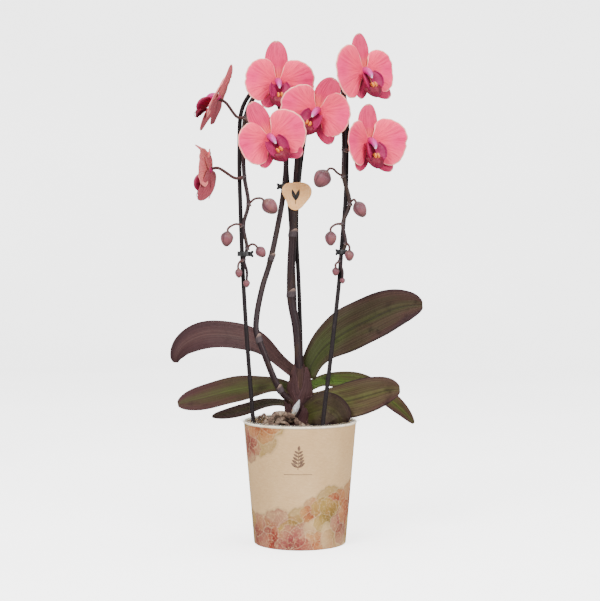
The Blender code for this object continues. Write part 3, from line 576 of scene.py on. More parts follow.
CHIPS, PEARLS = 430, 46
draw = np.random.default_rng(5)
cube = np.stack(np.meshgrid(*[[-1.0, 0.0, 1.0]] * 3, indexing="ij"), axis=-1).reshape(-1, 3)
number = np.arange(27).reshape(3, 3, 3)
faces = []
for axis in range(3):
    for layer, flip in ((0, 1), (2, -1)):
        sheet = np.take(number, layer, axis=axis)
        quad = np.stack(
            [sheet[:-1, :-1], sheet[:-1, 1:], sheet[1:, 1:], sheet[1:, :-1]], axis=-1
        ).reshape(-1, 4)
        faces.append(quad[:, ::flip * (-1 if axis == 1 else 1)])
faces = np.concatenate(faces)
keep = np.delete(np.arange(27), 13)
cube, faces = cube[keep], np.searchsorted(keep, faces)


def scattered(count, sizes, within, sink):
    """Broken pieces over the bark: a cube of 26 points with its corners drawn in, each point
    moved at random, stretched to the piece's three sizes, turned by three angles and set down on
    the dome."""
    rounded = cube / np.maximum(1.0, np.linalg.norm(cube, axis=1, keepdims=True)) ** 0.45
    shape = rounded[None] + draw.normal(0, 0.17, (count, 26, 3))
    shape = shape * draw.uniform(*np.array(sizes).T, (count, 3))[:, None, :] / 2
    yaw = draw.uniform(0, 2 * np.pi, count)
    lean = draw.normal(0, 0.30, count)
    roll = draw.normal(0, 0.35, count)
    c, s = np.cos([yaw, lean, roll]), np.sin([yaw, lean, roll])
    one, nil = np.ones(count), np.zeros(count)
    about_z = np.array([[c[0], -s[0], nil], [s[0], c[0], nil], [nil, nil, one]])
    about_y = np.array([[c[1], nil, s[1]], [nil, one, nil], [-s[1], nil, c[1]]])
    about_x = np.array([[one, nil, nil], [nil, c[2], -s[2]], [nil, s[2], c[2]]])
    turned = np.einsum("ijn,jkn,kln,nvl->nvi", about_z, about_y, about_x, shape)
    reach = np.abs(turned[..., :2]).max(axis=(1, 2))
    out = np.sqrt(draw.uniform(0, 1, count)) * (within - reach * 1.15)
    angle = draw.uniform(0, 2 * np.pi, count)
    middle = np.stack([out * np.cos(angle), out * np.sin(angle), 0 * out], axis=-1)
    middle[:, 2] = bark_height(middle[:, 0], middle[:, 1]) + draw.uniform(*sink, count)
    points = (turned + middle[:, None, :]).reshape(-1, 3)
    return points, [(faces[None] + 26 * np.arange(count)[:, None, None]).reshape(-1, 4)], {}


chips = scattered(CHIPS, [(6, 15), (4, 9), (2, 4.5)], BARK_R - 0.6, (-1.2, 1.6))
loose = bark_finish("loose_bark", "150e0b", "2f201a", "553f33")
made_of("bark_chips", chips, loose, "bark_chips", crease=40)
pearls = scattered(PEARLS, [(1.8, 3.4), (1.6, 3.0), (1.4, 2.6)], BARK_R - 1.5, (1.2, 2.6))
white, join, add = new_finish("perlite", Roughness=0.85)
join(
    "Base Color",
    ramp(add, grain(add, here(add), (600, 600, 600), detail=4), (0.3, "b9b2a8"), (0.7, "f2efe9"))
)
made_of("perlite", pearls, white, "bark_chips", crease=40)


# ==== Crown ==============================================================================
# The short stem of the plant, hidden in the folded bases of its leaves: each base wraps the ones
# inside it, and its two edges slant across the front. Purple-brown, green where it is young.
crown = cad_points("crown")
CROWN_R = np.abs(crown[:, 0]).max()
CROWN_FLAT = np.abs(crown[:, 1]).max() / CROWN_R
CROWN_UP = [-20, 4, 21, 41, 61, 72, 73]
CROWN_SHARE = [0.80, 0.95, 1.0, 0.90, 0.62, 0.28, 0.02]


def crown_radius(up):
    """The crown's half width at a height above the bark, which narrows towards the top."""
    return CROWN_R * np.interp(up, CROWN_UP, CROWN_SHARE)


up = np.linspace(-20, 72.8, 60)[:, None]
turn = np.linspace(0, 2 * np.pi, 56, endpoint=False)[None, :]
swell = crown_radius(up) * (1 + 0.02 * np.sin(9 * turn + up / 7))
core = np.stack(
    [swell * np.cos(turn), swell * CROWN_FLAT * np.sin(turn), BARK_TOP + up + 0 * turn], axis=-1
)


def leafy(name, *stops, stripe=0.12, veins="d0c8c2", rough=(0.42, 0.6), groove_shade_tone="1e1613"):
    """Leaf skin: colour across the blade from the midrib, mixed with purple-brown towards the edge and the
    tip, fine lengthwise veins, a waxy bloom, a dark line along the midrib that is partly its own tone and
    partly painted shade in its groove, and a dark rim that is partly the purple-brown border and partly
    painted shade."""
    material, join, add = new_finish(name, Specular_IOR_Level=0.09)
    own = lie(add)
    across, along, side = (split(add, own, k) for k in range(3))
    out = calc(add, "ABSOLUTE", across)
    cloud = grain(add, own, (2.2, 3.0, 1.0), detail=3)
    mix = calc(add, "ADD", calc(add, "MULTIPLY", out, 0.62), cloud)
    reach = calc(add, "ADD", calc(add, "MULTIPLY", along, 0.60), mix)
    young = add("MapRange", {"Value": reach, "From Min": 0.46, "From Max": 1.62})
    skin = ramp(add, young, *stops)
    vein = grain(add, own, (26, 0.8, 1.0), detail=2, roughness=0.5)
    fine = grain(add, own, (90, 1.6, 1.0), detail=2)
    lines = blend(
        add, mask(add, vein, 0.36, 0.66), blend(add, 1.0, skin, tint(veins), "MULTIPLY"), skin
    )
    lines = blend(add, stripe, lines, ramp(add, fine, (0.35, "1c1512"), (0.7, "c0a094")), "SOFT_LIGHT")
    mottle = grain(add, here(add), (60, 60, 60), detail=4)
    lines = blend(
        add, mask(add, mottle, 0.55, 0.8), lines, blend(add, 1.0, lines, tint("9a8f86"), "MULTIPLY")
    )
    # Partly painted shade: the midrib darkens where its groove lies.
    rib = mask(add, out, 0.06, 0.0)
    lines = blend(add, calc(add, "MULTIPLY", rib, 0.55), lines, tint(groove_shade_tone))
    # Partly painted shade: the rim darkens towards near black, over the purple-brown edge colour.
    rim = mask(add, out, 0.90, 1.0)
    lines = blend(add, calc(add, "MULTIPLY", rim, 0.8), lines, tint("1f1315"))
    under = mask(add, side, 0.1, -0.1)
    lines = blend(add, calc(add, "MULTIPLY", under, 0.5), lines, tint("3c2629"))
    join("Base Color", lines)
    join("Roughness", spread(add, cloud, rough[0], rough[1]))
    height = blend(
        add, 0.35, ramp(add, vein, (0.3, "000000"), (0.7, "ffffff")),
        ramp(add, fine, (0.3, "000000"), (0.7, "ffffff"))
    )
    join("Normal", relief(add, height, 0.0002))
    return material


sheath_skin = leafy(
    "sheath_skin", (0.0, "5a4c30"), (0.35, "564238"), (0.7, "463230"), (1.0, "342224"), stripe=0.35,
    veins="a0928a"
)
bark_skin = np.stack(
    [np.sin(2 * turn) * 0.6 + 0 * up, 0.3 + up / 100 + 0 * turn, 1 + 0 * up * turn], axis=-1
)
made_of("crown_core", round_skin(core, lie=bark_skin), sheath_skin, "leaf_sheath", "crown")

# Each sheath: direction of its leaf, height of its top, how far it stands off, half wrap in
# degrees at its foot and at its top
SHEATHS = {
    "sheath_low_left": (172, 33, 1.5, 165, 62), "sheath_front_right": (-38, 27, 1.9, 130, 48),
    "sheath_mid_right": (-8, 39, 1.2, 165, 60), "sheath_mid_left": (185, 53, 0.9, 168, 58),
    "sheath_upper_right": (2, 68, 0.6, 170, 66), "sheath_upper_left": (181, 71, 0.35, 172, 75),
}
for name, (toward, tall, off, foot_wrap, top_wrap) in SHEATHS.items():
    share, wrap = np.linspace(0, 1, 34)[:, None], np.linspace(-1, 1, 41)[None, :]
    up = -4 + (tall + 4) * share
    half = np.radians(foot_wrap + (top_wrap - foot_wrap) * ease(share))
    angle = np.radians(toward) + half * wrap
    radius = (
        crown_radius(up) + off + 1.1 * ease((share - 0.55) / 0.45)
        + 0.25 * np.sin(7 * angle + share * 4)
    )
    lift = (BARK_TOP + up) - 2.0 * np.abs(wrap) ** 3 * share
    middle = np.stack(
        [
            radius * np.cos(angle),
            (radius - CROWN_R) * np.sin(angle) + CROWN_R * CROWN_FLAT * np.sin(angle), lift
        ],
        axis=-1
    )
    skin_lie = np.stack([wrap + 0 * share, 0.25 + 0.4 * share + 0 * wrap, 0 * share * wrap], axis=-1)
    thick = 0.9 - 0.5 * np.abs(wrap) ** 4 + 0 * share
    made_of(name, blade_skin(middle, thick, lie=skin_lie), sheath_skin, "leaf_sheath")


# ==== Roots ==============================================================================
# Aerial roots, a corky tan skin over a wiry core, that leave the crown and arch over the bark,
# among thinner old roots that wander over it. One young root still has its silvery tip.
def smooth_path(points, per_span):
    """A centripetal Catmull-Rom curve: each span between two points is a blend of blends of the
    four points about it, timed by the square root of the distances between them."""
    knots = np.asarray(points, float)
    knots = np.concatenate([[2 * knots[0] - knots[1]], knots, [2 * knots[-1] - knots[-2]]])
    a, b, c, d = (knots[k:len(knots) - 3 + k, None, :] for k in range(4))
    t1 = np.sqrt(np.linalg.norm(b - a, axis=-1, keepdims=True))
    t2 = t1 + np.sqrt(np.linalg.norm(c - b, axis=-1, keepdims=True))
    t3 = t2 + np.sqrt(np.linalg.norm(d - c, axis=-1, keepdims=True))
    t = t1 + (t2 - t1) * (np.arange(per_span) / per_span)[None, :, None]
    ab, bc, cd = (
        a + (b - a) * t / t1, b + (c - b) * (t - t1) / (t2 - t1), c + (d - c) * (t - t2) / (t3 - t2)
    )
    abc, bcd = ab + (bc - ab) * t / t2, bc + (cd - bc) * (t - t1) / (t3 - t1)
    spans = abc + (bcd - abc) * (t - t1) / (t2 - t1)
    return np.concatenate([spans.reshape(-1, 3), knots[-2:-1]])


def evenly(values, count):
    """Values at even steps along a path, read off at count even steps."""
    return np.interp(np.linspace(0, 1, count), np.linspace(0, 1, len(values)), values)


def tube(path, radius, around, round_ends=True):
    """A tube: a circle of the given radius about each point of the path, in the plane across it.
    One axis of the circle is across the path and the direction that the path follows least. The
    two ends are drawn in over a quarter circle."""
    radius = np.asarray(radius, float)
    radius = np.broadcast_to(radius if radius.ndim == 2 else radius.reshape(-1, 1), (len(path), around))
    if round_ends:
        bow = np.sin(np.linspace(0.12, 0.5, 4) * np.pi)[:, None]
        first, last = path[0] - path[1], path[-1] - path[-2]
        first, last = first / np.linalg.norm(first), last / np.linalg.norm(last)
        reach = np.sqrt(1 - bow ** 2)
        path = np.concatenate([
            path[0] + first * reach * radius[0].mean(), path[1:-1],
            path[-1] + last * reach[::-1] * radius[-1].mean(),
        ])
        radius = np.concatenate([radius[0] * bow, radius[1:-1], radius[-1] * bow[::-1]])
    forward = np.gradient(path, axis=0)
    forward /= np.linalg.norm(forward, axis=-1, keepdims=True)
    least = np.linalg.svd(forward, full_matrices=False)[2][-1]
    side = np.cross(forward, least)
    side /= np.linalg.norm(side, axis=-1, keepdims=True)
    up = np.cross(side, forward)
    angle = np.linspace(0, 2 * np.pi, around, endpoint=False)[None, :, None]
    grid = (
        path[:, None, :]
        + radius[..., None] * (np.cos(angle) * side[:, None, :] + np.sin(angle) * up[:, None, :])
    )
    run = np.concatenate([[0], np.cumsum(np.linalg.norm(np.diff(path, axis=0), axis=-1))])
    own = np.stack([
        np.cos(angle[..., 0]) + 0 * run[:, None], 0 * angle[..., 0] + run[:, None] / 10,
        np.sin(angle[..., 0]) + 0 * run[:, None]], axis=-1)
    return round_skin(grid, lie=own)


def by_crown(x, out):
    """A spot in front of the crown, out from its face."""
    return np.array([x, -(CROWN_R * CROWN_FLAT + out)])


def by_edge(degrees, inset):
    """A spot on the bark, inset from its edge."""
    return (BARK_R - inset) * np.array([np.cos(np.radians(degrees)), np.sin(np.radians(degrees))])


# Start, end, then (share of the way, shift to the left, rise over the bark), and radii
ROOTS = {
    "root_front": (
        by_crown(-8, 1.2), by_edge(219, 5.5), [(0, 0, 6), (0.3, 1, 11), (0.72, 5, 4), (1, 0, 0)],
        (2.6, 2.4, 1.8)
    ),
    "root_left": (
        np.array([-CROWN_R, -5]), by_edge(175, 12),
        [(0, 0, 3), (0.33, 7, 6), (0.7, 8, 5), (1, 0, 0)], (2.4, 2.2, 1.6)
    ),
    "root_right": (
        by_crown(8, 1.2), by_edge(259, 12.5), [(0, 0, 1), (0.33, 9, 1), (0.75, 10, 0), (1, 0, 0)],
        (2.4, 2.2, 1.6)
    ),
    "root_tip": (
        by_crown(0, -0.8), by_crown(-5, 6.7), [(0, 0, 28), (0.4, 0, 20), (0.8, 0, 10), (1, 0, 0)],
        (2.6, 3.2, 1.8)
    ),
}
SILVER = [(-0.8, -12.6, 34), (-2.4, -13.8, 30), (-4.2, -15.0, 26), (-6.4, -16.2, 21.5)]
# Thin old roots that wander over the rest: points above the bark, and radii from end to end
WANDERERS = [
    (
        [
            (-5.4, -15.6, 23.5), (-8, -17.5, 19), (-13, -18.5, 19), (-20, -20, 22), (-27, -24, 19),
            (-35, -27, 13), (-42, -28, 6), (-47, -24, 1)
        ],
        (2.8, 3.0, 2.5, 1.8)
    ),
    ([(-5, -15, 14), (0, -24, 11), (8, -32, 7), (16, -39, 4), (22, -43, 0)], (2.4, 2.7, 2.3, 1.6)),
    (
        [
            (-45, -25, 4), (-44, -27, 13), (-41, -28, 19), (-37, -28, 21), (-33, -28, 17),
            (-30, -29, 10), (-27, -32, 3)
        ],
        (1.0, 1.2, 1.1, 0.8)
    ),
    (
        [(-44, -18, 3), (-40, -22, 9), (-34, -29, 12), (-26, -35, 10), (-18, -40, 5), (-12, -44, 0)],
        (1.5, 1.9, 1.7, 1.1)
    ),
    ([(-30, -16, 6), (-24, -22, 14), (-16, -29, 13), (-8, -36, 6), (-3, -43, 1)], (1.3, 1.7, 1.5, 1.0)),
    ([(9, 11, 10), (18, 20, 13), (30, 30, 9), (38, 33, 2)], (2.4, 2.6, 2.1, 1.5)),
    ([(-9, 10, 9), (-20, 22, 12), (-30, 33, 7), (-33, 42, 1)], (2.2, 2.5, 2.0, 1.4)),
    ([(2, 13, 12), (4, 26, 10), (-4, 38, 7), (-14, 47, 1)], (2.0, 2.3, 2.0, 1.2)),
]
corky, join, add = new_finish("corky_root", Roughness=0.85, Specular_IOR_Level=0.25)
own = lie(add)
place = here(add)
bare = grain(add, place, (110, 110, 110), detail=5, roughness=0.65)
crack = grain(add, own, (1.5, 6.0, 1.5), detail=5, roughness=0.7)
coat = ramp(add, bare, (0.28, "2c1f19"), (0.46, "57443a"), (0.62, "85705f"), (0.82, "b5a18c"))
join("Base Color", blend(add, mask(add, crack, 0.5, 0.62), coat, tint("1d1512")))
join("Normal", relief(add, crack, 0.0007))
silver, join, add = new_finish("silver_root_tip", Roughness=0.7)
own = lie(add)
bare = grain(add, own, (2, 3, 2), detail=4)
join(
    "Base Color",
    blend(
        add, mask(add, split(add, own, 1), 1.1, 1.9),
        ramp(add, bare, (0.3, "77747a"), (0.7, "b9b7b8")), tint("6f7058")
    )
)
join("Normal", relief(add, bare, 0.0003))
for name, (start, end, route, radii) in ROOTS.items():
    left = np.array([start[1] - end[1], end[0] - start[0]])
    left = left / np.linalg.norm(left)
    share, shift, rise = np.array(route, float).T[:, :, None]
    spot = start + (end - start) * share + left * shift
    radius = evenly(radii, len(route))[:, None]
    spots = np.concatenate([spot, bark_height(spot[:, :1], spot[:, 1:]) + radius + 0.35 + rise], axis=1)
    path = smooth_path(spots, 12)
    step, angle = np.arange(len(path))[:, None], np.linspace(0, 2 * np.pi, 20, endpoint=False)[None, :]
    if name == "root_tip":
        path = smooth_path(np.array(SILVER) + [0, 0, BARK_TOP], 10)
        plump = evenly((0.9, 2.1, 3.1, 3.2, 2.7), len(path))[:, None]
        plump = plump * (1 + 0.03 * np.sin(3 * angle + np.arange(len(path))[:, None] / 3))
        made_of("silver_root", tube(path, plump, 20), silver, "root", name)
        continue
    knots = (
        1 + 0.16 * np.sin(step * 0.62) * np.sin(step * 0.27 + 1)
        + 0.07 * np.sin(3 * angle + step * 0.4)
    )
    made_of(
        "aerial_" + name, tube(path, evenly(radii, len(path))[:, None] * knots, 20), corky, "root",
        name
    )


old_roots = []
for k, (points, radii) in enumerate(WANDERERS):
    path = smooth_path(np.array(points, float) + [0, 0, BARK_TOP], 9)
    step, angle = np.arange(len(path))[:, None], np.linspace(0, 2 * np.pi, 16, endpoint=False)[None, :]
    knots = (
        1 + 0.20 * np.sin(step * 0.7 + k) * np.sin(step * 0.31 + 2 * k)
        + 0.08 * np.sin(3 * angle + step * 0.5)
    )
    wriggle = (
        np.stack([0 * step, np.sin(step * 0.45 + k), np.sin(step * 0.6 + 2 * k)], axis=-1)[:, 0]
        * 0.7
    )
    old_roots.append(tube(path + wriggle, evenly(radii, len(path))[:, None] * knots, 16))
made_of("old_roots", joined(*old_roots), corky, "root")


# ==== Leaves =============================================================================
# Seven strap leaves, thick and leathery, folded along the midrib where they clasp the crown and opening
# flat towards a rounded tip. Olive green, purple-brown at the edges and underneath, with painted shade
# darkening their rims and the groove of the midrib.
# Midrib points as the CAD has them, half width, tilt towards the front at base and tip, the
# base's share of the width, the depth of the edges' wave, and the skin
LEAVES = {
    "leaf_upper_left": (
        [
            (-7, 3, 60), (-21, 7, 71), (-45, 11, 90), (-73, 13, 98), (-102, 13, 98), (-121, 11, 89),
            (-129, 9, 78), (-130, 8, 71)
        ],
        20.5, (28, 48), 0.5, 0.5, "purple"
    ),
    "leaf_mid_left": (
        [
            (-5, 2, 42), (-25, 4, 47), (-48, 5, 45), (-73, 3, 41), (-98, 0, 35), (-118, -3, 31),
            (-128, -4, 29)
        ],
        18.5, (32, 48), 0.5, 0.4, "green"
    ),
    "leaf_low_left": (
        [(-6, 5, 24), (-20, 11, 28), (-36, 15, 27), (-59, 18, 20), (-77, 16, 16), (-93, 13, 14)],
        10, (22, 35), 0.6, 0.3, "olive"
    ),
    "leaf_upper_right": (
        [
            (7, 3, 57), (15, 7, 74), (26, 8, 88), (45, 6, 102), (71, 1, 116), (97, -4, 128),
            (114, -6, 132), (128, -7, 133)
        ],
        25, (64, 66), 0.42, 0.6, "broad"
    ),
    "leaf_back_right": (
        [
            (6, 2, 44), (23, 17, 50), (43, 29, 49), (67, 33, 45), (88, 32, 34), (106, 29, 20),
            (121, 25, 5)
        ],
        16, (38, 30), 0.4, 0.4, "green"
    ),
    "leaf_mid_right": (
        [(6, -1, 30), (32, -3, 31), (52, -6, 33), (73, -9, 39), (90, -12, 44), (104, -14, 46)], 20,
        (66, 60), 0.5, 0.5, "olive"
    ),
}
reach = pot_radius(BARK_TOP) - POT_WALL - CUP_GAP - LINER_WALL - 8.0
tip = [(6, -6, 18), (15, -15.5, 23)]
for share, degrees, height in ((0.78, -39, 26), (0.98, -32, 19), (1.0, -28, 9)):
    tip.append((
        reach * share * np.cos(np.radians(degrees)), reach * share * np.sin(np.radians(degrees)),
        height
    ))
LEAVES["leaf_front_right"] = (tip, 17.5, (78, 76), 0.6, 0.3, "dusky")
SKINS = {
    # Painted light on this skin: its lighter middle stops are a painted highlight along the blade, and its
    # darkest edge stop is partly the purple border and partly painted shade.
    "purple": leafy(
        "purple_leaf", (0.0, "3c3523"), (0.18, "54443c"), (0.45, "58443e"), (0.72, "422d2b"),
        (1.0, "2a1a1b"), stripe=0.5, veins="968880"
    ),
    "green": leafy(
        "green_leaf", (0.0, "4a6a1a"), (0.3, "465a1e"), (0.55, "464822"), (0.8, "483626"),
        (1.0, "442a28")
    ),
    "olive": leafy("olive_leaf", (0.0, "4c5e26"), (0.3, "4e5229"), (0.6, "4a3f2a"), (1.0, "422c28")),
    "broad": leafy(
        "broad_leaf", (0.0, "2e3616"), (0.3, "363b1c"), (0.55, "383120"), (0.8, "3b2922"),
        (1.0, "301e20")
    ),
    "dusky": leafy(
        "dusky_leaf", (0.0, "3c401e"), (0.35, "3e3a22"), (0.6, "382e22"), (1.0, "2c1c1c"),
        stripe=0.0, veins="e4e0dc", groove_shade_tone="30281e"
    ),
}
LEAF_THICK, LEAF_FOLD = 1.8, 0.18


def leaf_outline(share, base_share):
    """Half width along the leaf as a share of the widest: it swells from the base to the middle,
    then rounds in to the tip."""
    swell = base_share + (1 - base_share) * ease(share / 0.5)
    taper = np.clip((share - 0.5) / 0.5, 0, 1)
    return swell * np.sqrt(np.clip(1 - taper ** 2.6, 0, 1))


def leaf_middle(midrib, half_width, tilts, base_share, wave):
    """The blade's middle surface. Across the midrib lies the direction of Y with its part along
    the leaf taken off, turned about the leaf by the tilt. Each point stands side times the half
    width across, and rises with the fold, a shallow groove at the midrib and a wave of the edge."""
    route = smooth_path(np.asarray(midrib, float) + [0, 0, BARK_TOP], 12)
    run = np.concatenate([[0], np.cumsum(np.linalg.norm(np.diff(route, axis=0), axis=-1))])
    share = 0.995 * np.sin(np.linspace(0, np.pi / 2, 64))
    spot = np.stack([np.interp(share * run[-1], run, route[:, k]) for k in range(3)], axis=-1)
    forward = np.gradient(spot, axis=0)
    forward /= np.linalg.norm(forward, axis=-1, keepdims=True)
    handed = np.sign(midrib[-1][0])
    across = np.array([0, 1, 0]) - forward * forward[:, 1:2]
    across /= np.linalg.norm(across, axis=-1, keepdims=True)
    normal = np.cross(forward, across) * handed
    tilt = np.radians(tilts[0] + (tilts[1] - tilts[0]) * ease(share))[:, None]
    across, normal = (
        across * np.cos(tilt) + normal * np.sin(tilt), normal * np.cos(tilt) - across * np.sin(tilt)
    )
    side = np.sin(np.linspace(-1, 1, 29) * np.pi / 2)[None, :]
    width = (half_width * leaf_outline(share, base_share))[:, None]
    rise = LEAF_FOLD * width * np.sqrt(side ** 2 + 0.004) * (1.25 - 0.5 * share[:, None])
    rise = rise - 0.35 * np.exp(-(side / 0.06) ** 2)
    rise = rise + wave * side ** 2 * np.sin(share[:, None] * run[-1] / 9 + side * 1.5)
    middle = (
        spot[:, None, :] + across[:, None, :] * (width * side)[..., None]
        + normal[:, None, :] * rise[..., None]
    )
    own = np.stack([side + 0 * width, share[:, None] + 0 * side, 0 * width * side], axis=-1)
    return middle, own, side, share


for name, (midrib, half_width, tilts, base_share, wave, skin) in LEAVES.items():
    middle, own, side, share = leaf_middle(midrib, half_width, tilts, base_share, wave)
    thick = (
        LEAF_THICK * (1 - 0.72 * side ** 4) * (1 - 0.55 * share[:, None] ** 6)
        + 0.25 * np.exp(-(side / 0.08) ** 2)
    )
    made_of("strap_" + name, blade_skin(middle, thick, lie=own), SKINS[skin], "leaf", name)


# ==== Bow wires ==========================================================================
# Two spring wires in a near-black plastic coat. Each rises behind the crown, arches over and
# comes down into the bark at the pot's edge; the spikes are trained along them.
WIRE_R = 2.2
BOWS = {
    "left": [
        (-4, 15, 84), (-8, 14.5, 189), (-11, 14, 237), (-14, 12, 274), (-16, 9, 314), (-23, 4, 352),
        (-36, -1, 368), (-50, -6, 353), (-60, -10, 334), (-62.5, -13, 292), (-61, -15, 221),
        (-58, -17, 149), (-54, -19, 87)],
    "right": [
        (1, 12, 84), (-1.5, 9, 158), (-3.5, 9.5, 199), (-3.5, 10.5, 231), (-1, 10.5, 262), (2, 8, 289),
        (7, 5, 319), (16, 1, 348), (30, -2, 362), (42, -10, 356), (47.5, -16, 336), (48, -22, 292),
        (46.5, -27, 241), (43, -31, 200), (40, -34, 159), (32.5, -41, 91)],
}
INNER_FEET = {
    "left": (-4, CROWN_R * CROWN_FLAT + WIRE_R + 5), "right": (2, CROWN_R * CROWN_FLAT + WIRE_R + 3)
}
OUTER_FEET = {"left": 201, "right": 296}
WIRE_DEPTH = 66.0


def wire_route(side):
    """The wire's axis: up out of the bark behind the crown, over the bow, down into the bark."""
    x, y = INNER_FEET[side]
    inner = [(x, y, BARK_TOP - WIRE_DEPTH), (x, y, BARK_TOP + BARK_DOME)]
    bow = [(a, b + WIRE_R, c + BARK_TOP) for a, b, c in BOWS[side]]
    outer = []
    angle = np.radians(OUTER_FEET[side])
    for height in (BARK_TOP + BARK_DOME, BARK_TOP - WIRE_DEPTH):
        out = BARK_R - (BARK_TOP - height) * (POT_RIM_R - POT_FOOT_R) / POT_HEIGHT - 4.0
        outer.append((out * np.cos(angle), out * np.sin(angle), height))
    return smooth_path([*inner, *bow, *outer], 8)


coated, join, add = new_finish("coated_wire", Specular_IOR_Level=0.12)
own = lie(add)
drawn = grain(add, own, (3, 0.5, 3), detail=3)
scuff = grain(add, here(add), (300, 300, 300), detail=4)
join(
    "Base Color",
    blend(
        add, mask(add, scuff, 0.58, 0.75), ramp(add, drawn, (0.3, "161112"), (0.7, "231c1e")),
        tint("30282a")
    )
)
join("Roughness", spread(add, scuff, 0.45, 0.68))
join("Normal", relief(add, drawn, 0.0001))
for side in BOWS:
    made_of(
        f"coated_wire_{side}", tube(wire_route(side), WIRE_R, 20), coated, "bow_wire",
        f"bow_wire_{side}"
    )


# ==== Flower spikes ======================================================================
# Two flower stems that leave the crown, follow their wires over the top and hang down, with a
# stalk to each blossom and bud. They swell at their joints, where a small dry bract clasps them.
STEPS = 10          # points to each span of a route
SPIKES = {
    "left": (
        [
            (-8, -6, 31), (-20.5, -14, 45), (-39, -17, 89), (-45, -14, 106), (-44.5, -11, 123),
            (-38.5, -5, 153), (-32, -2, 174), (-24, 2, 210), (-17.5, 6.5, 247), (-14.5, 7, 278),
            (-16, 3.5, 314), (-23, -1, 343), (-36, -6, 358.5), (-48, -10, 346), (-56, -13.5, 326),
            (-58, -17, 292), (-57, -18.5, 265), (-53, -20, 237), (-58, -20.5, 215),
            (-54.5, -21.5, 192), (-57.5, -21, 180), (-54.5, -21, 168), (-54.6, -21, 160),
        ],
        (3.4, 3.2, 3.0, 2.9, 2.7, 2.5, 2.2, 2.0, 1.7, 1.2), (1.0, 2.45, 6.2),
    ),
    "right": (
        [
            (0, 0, 64), (-1.5, -1, 80), (-4, 1, 109), (-9, 3, 137), (-9.5, 3.5, 167), (-8, 4, 199),
            (-6.5, 5, 231), (-4.5, 5.5, 252), (-1.5, 3.5, 289), (4.5, 1, 319), (15, -2.5, 343),
            (30, -6, 355), (40, -14, 347), (43.8, -19.8, 329), (45, -26.3, 292), (44.5, -29, 265),
            (50.5, -31, 237), (43.5, -33.6, 217), (46.3, -34.8, 197), (40.5, -35.6, 179),
            (43.2, -36, 168), (43.3, -36.2, 162.5),
        ],
        (4.4, 4.4, 4.3, 3.8, 3.2, 2.8, 2.3, 2.0, 1.7, 1.2), (3.2, 5.2),
    ),
}
STALKS = {
    "left": {
        "flower_1": (14, [(-64, -18, 326)]), "flower_2": (16, [(-66, -20.5, 263.5)]),
        "flower_3": (12, []), "flower_4": (14, [(-50, -26, 317)]),
        "bud_left_1": (17, [(-46, -22.5, 242.5)]), "bud_left_2": (18, [(-66, -22, 216.5)]),
        "bud_left_3": (19, [(-49.5, -24.5, 196)]), "bud_left_4": (20, [(-61.5, -24, 178)]),
    },
    "right": {
        "flower_5": (10, [(16, -20, 339)]), "flower_6": (12, [(46, -24, 352)]),
        "flower_7": (14, [(52, -33, 292)]),
        "bud_right_1": (15, [(38, -32, 268.5), (33.5, -35, 272.5)]),
        "bud_right_2": (16, [(53, -34, 240.5)]), "bud_right_3": (17, [(36, -37, 216)]),
        "bud_right_4": (18, [(48.5, -39.5, 196)]), "bud_right_5": (19, []),
    },
}
# Each flower: its centre, the way it faces (degrees to the right of the front, degrees up) and
# its roll, clockwise from in front, as the CAD has them
FLOWERS = {
    "flower_1": ((-84, -20, 345), (-102, 28), 8), "flower_2": ((-92, -22, 273), (-108, -4), 0),
    "flower_3": ((-20, -20, 363), (10, 4), -3), "flower_4": ((-28.5, -56, 308), (13, 0), -30),
    "flower_5": ((17.5, -38, 332), (-12, 0), 28), "flower_6": ((60.5, -48, 370), (35, 2), -14),
    "flower_7": ((73, -48, 301), (33, 0), -4),
}
# Each bud: where its stalk ends, the way its tip points, its length and its width
BUDS = {
    "bud_left_1": (
        (-37.5, -24, 241), (0.8, 0, -0.75), 18, 15.5
    ), "bud_left_2": ((-74, -22, 209.5), (-0.12, 0, -1), 15.5, 13),
    "bud_left_3": (
        (-44, -26.5, 193), (0.65, -0.05, -0.8), 12, 10.5
    ), "bud_left_4": ((-63.2, -25.5, 171.5), (0.08, 0, -1), 9.5, 7.5),
    "bud_left_5": (
        (-54.6, -21, 160), (-0.05, -0.1, -1), 8, 7
    ), "bud_right_1": ((28, -36, 270.5), (-0.6, 0, -0.85), 19, 18),
    "bud_right_2": (
        (56.5, -37, 239), (0.5, 0, -0.85), 17, 13.5
    ), "bud_right_3": ((31.2, -38, 209.5), (0, 0, -1), 14.5, 12),
    "bud_right_4": ((50, -44, 190.5), (0, 0, -1), 11, 9.5), "bud_right_5": (
        (36.2, -38.5, 173), (0, 0, -1), 8.5, 7.5
    ),
    "bud_right_6": ((43.3, -36.2, 162.5), (0, -0.1, -1), 6, 5.5),
}


def flower_axes(name):
    """A flower's centre and its three axes as rows: to its right, to its top and out of its face."""
    centre, facing, roll = FLOWERS[name]
    yaw, pitch = np.radians(facing)
    face = np.array([np.sin(yaw) * np.cos(pitch), -np.cos(yaw) * np.cos(pitch), np.sin(pitch)])
    right = np.cross([0, 0, 1], face)
    right /= np.linalg.norm(right)
    top = np.cross(face, right)
    c, s = np.cos(np.radians(-roll)), np.sin(np.radians(-roll))
    return np.add(centre, (0, 0, BARK_TOP)), np.array([right * c + top * s, top * c - right * s, face])


def stalk_end(carries):
    """The last points of a stalk: straight up to the back of a flower, or the foot of a bud."""
    if carries in BUDS:
        foot, toward = (np.array(v, float) for v in BUDS[carries][:2])
        foot = foot + [0, 0, BARK_TOP]
        return [
            foot - toward / np.linalg.norm(toward) * 2.5,
            foot + toward / np.linalg.norm(toward) * 0.8
        ]
    centre, axes = flower_axes(carries)
    return [centre - axes[2] * far for far in (9.1, 0.9)]


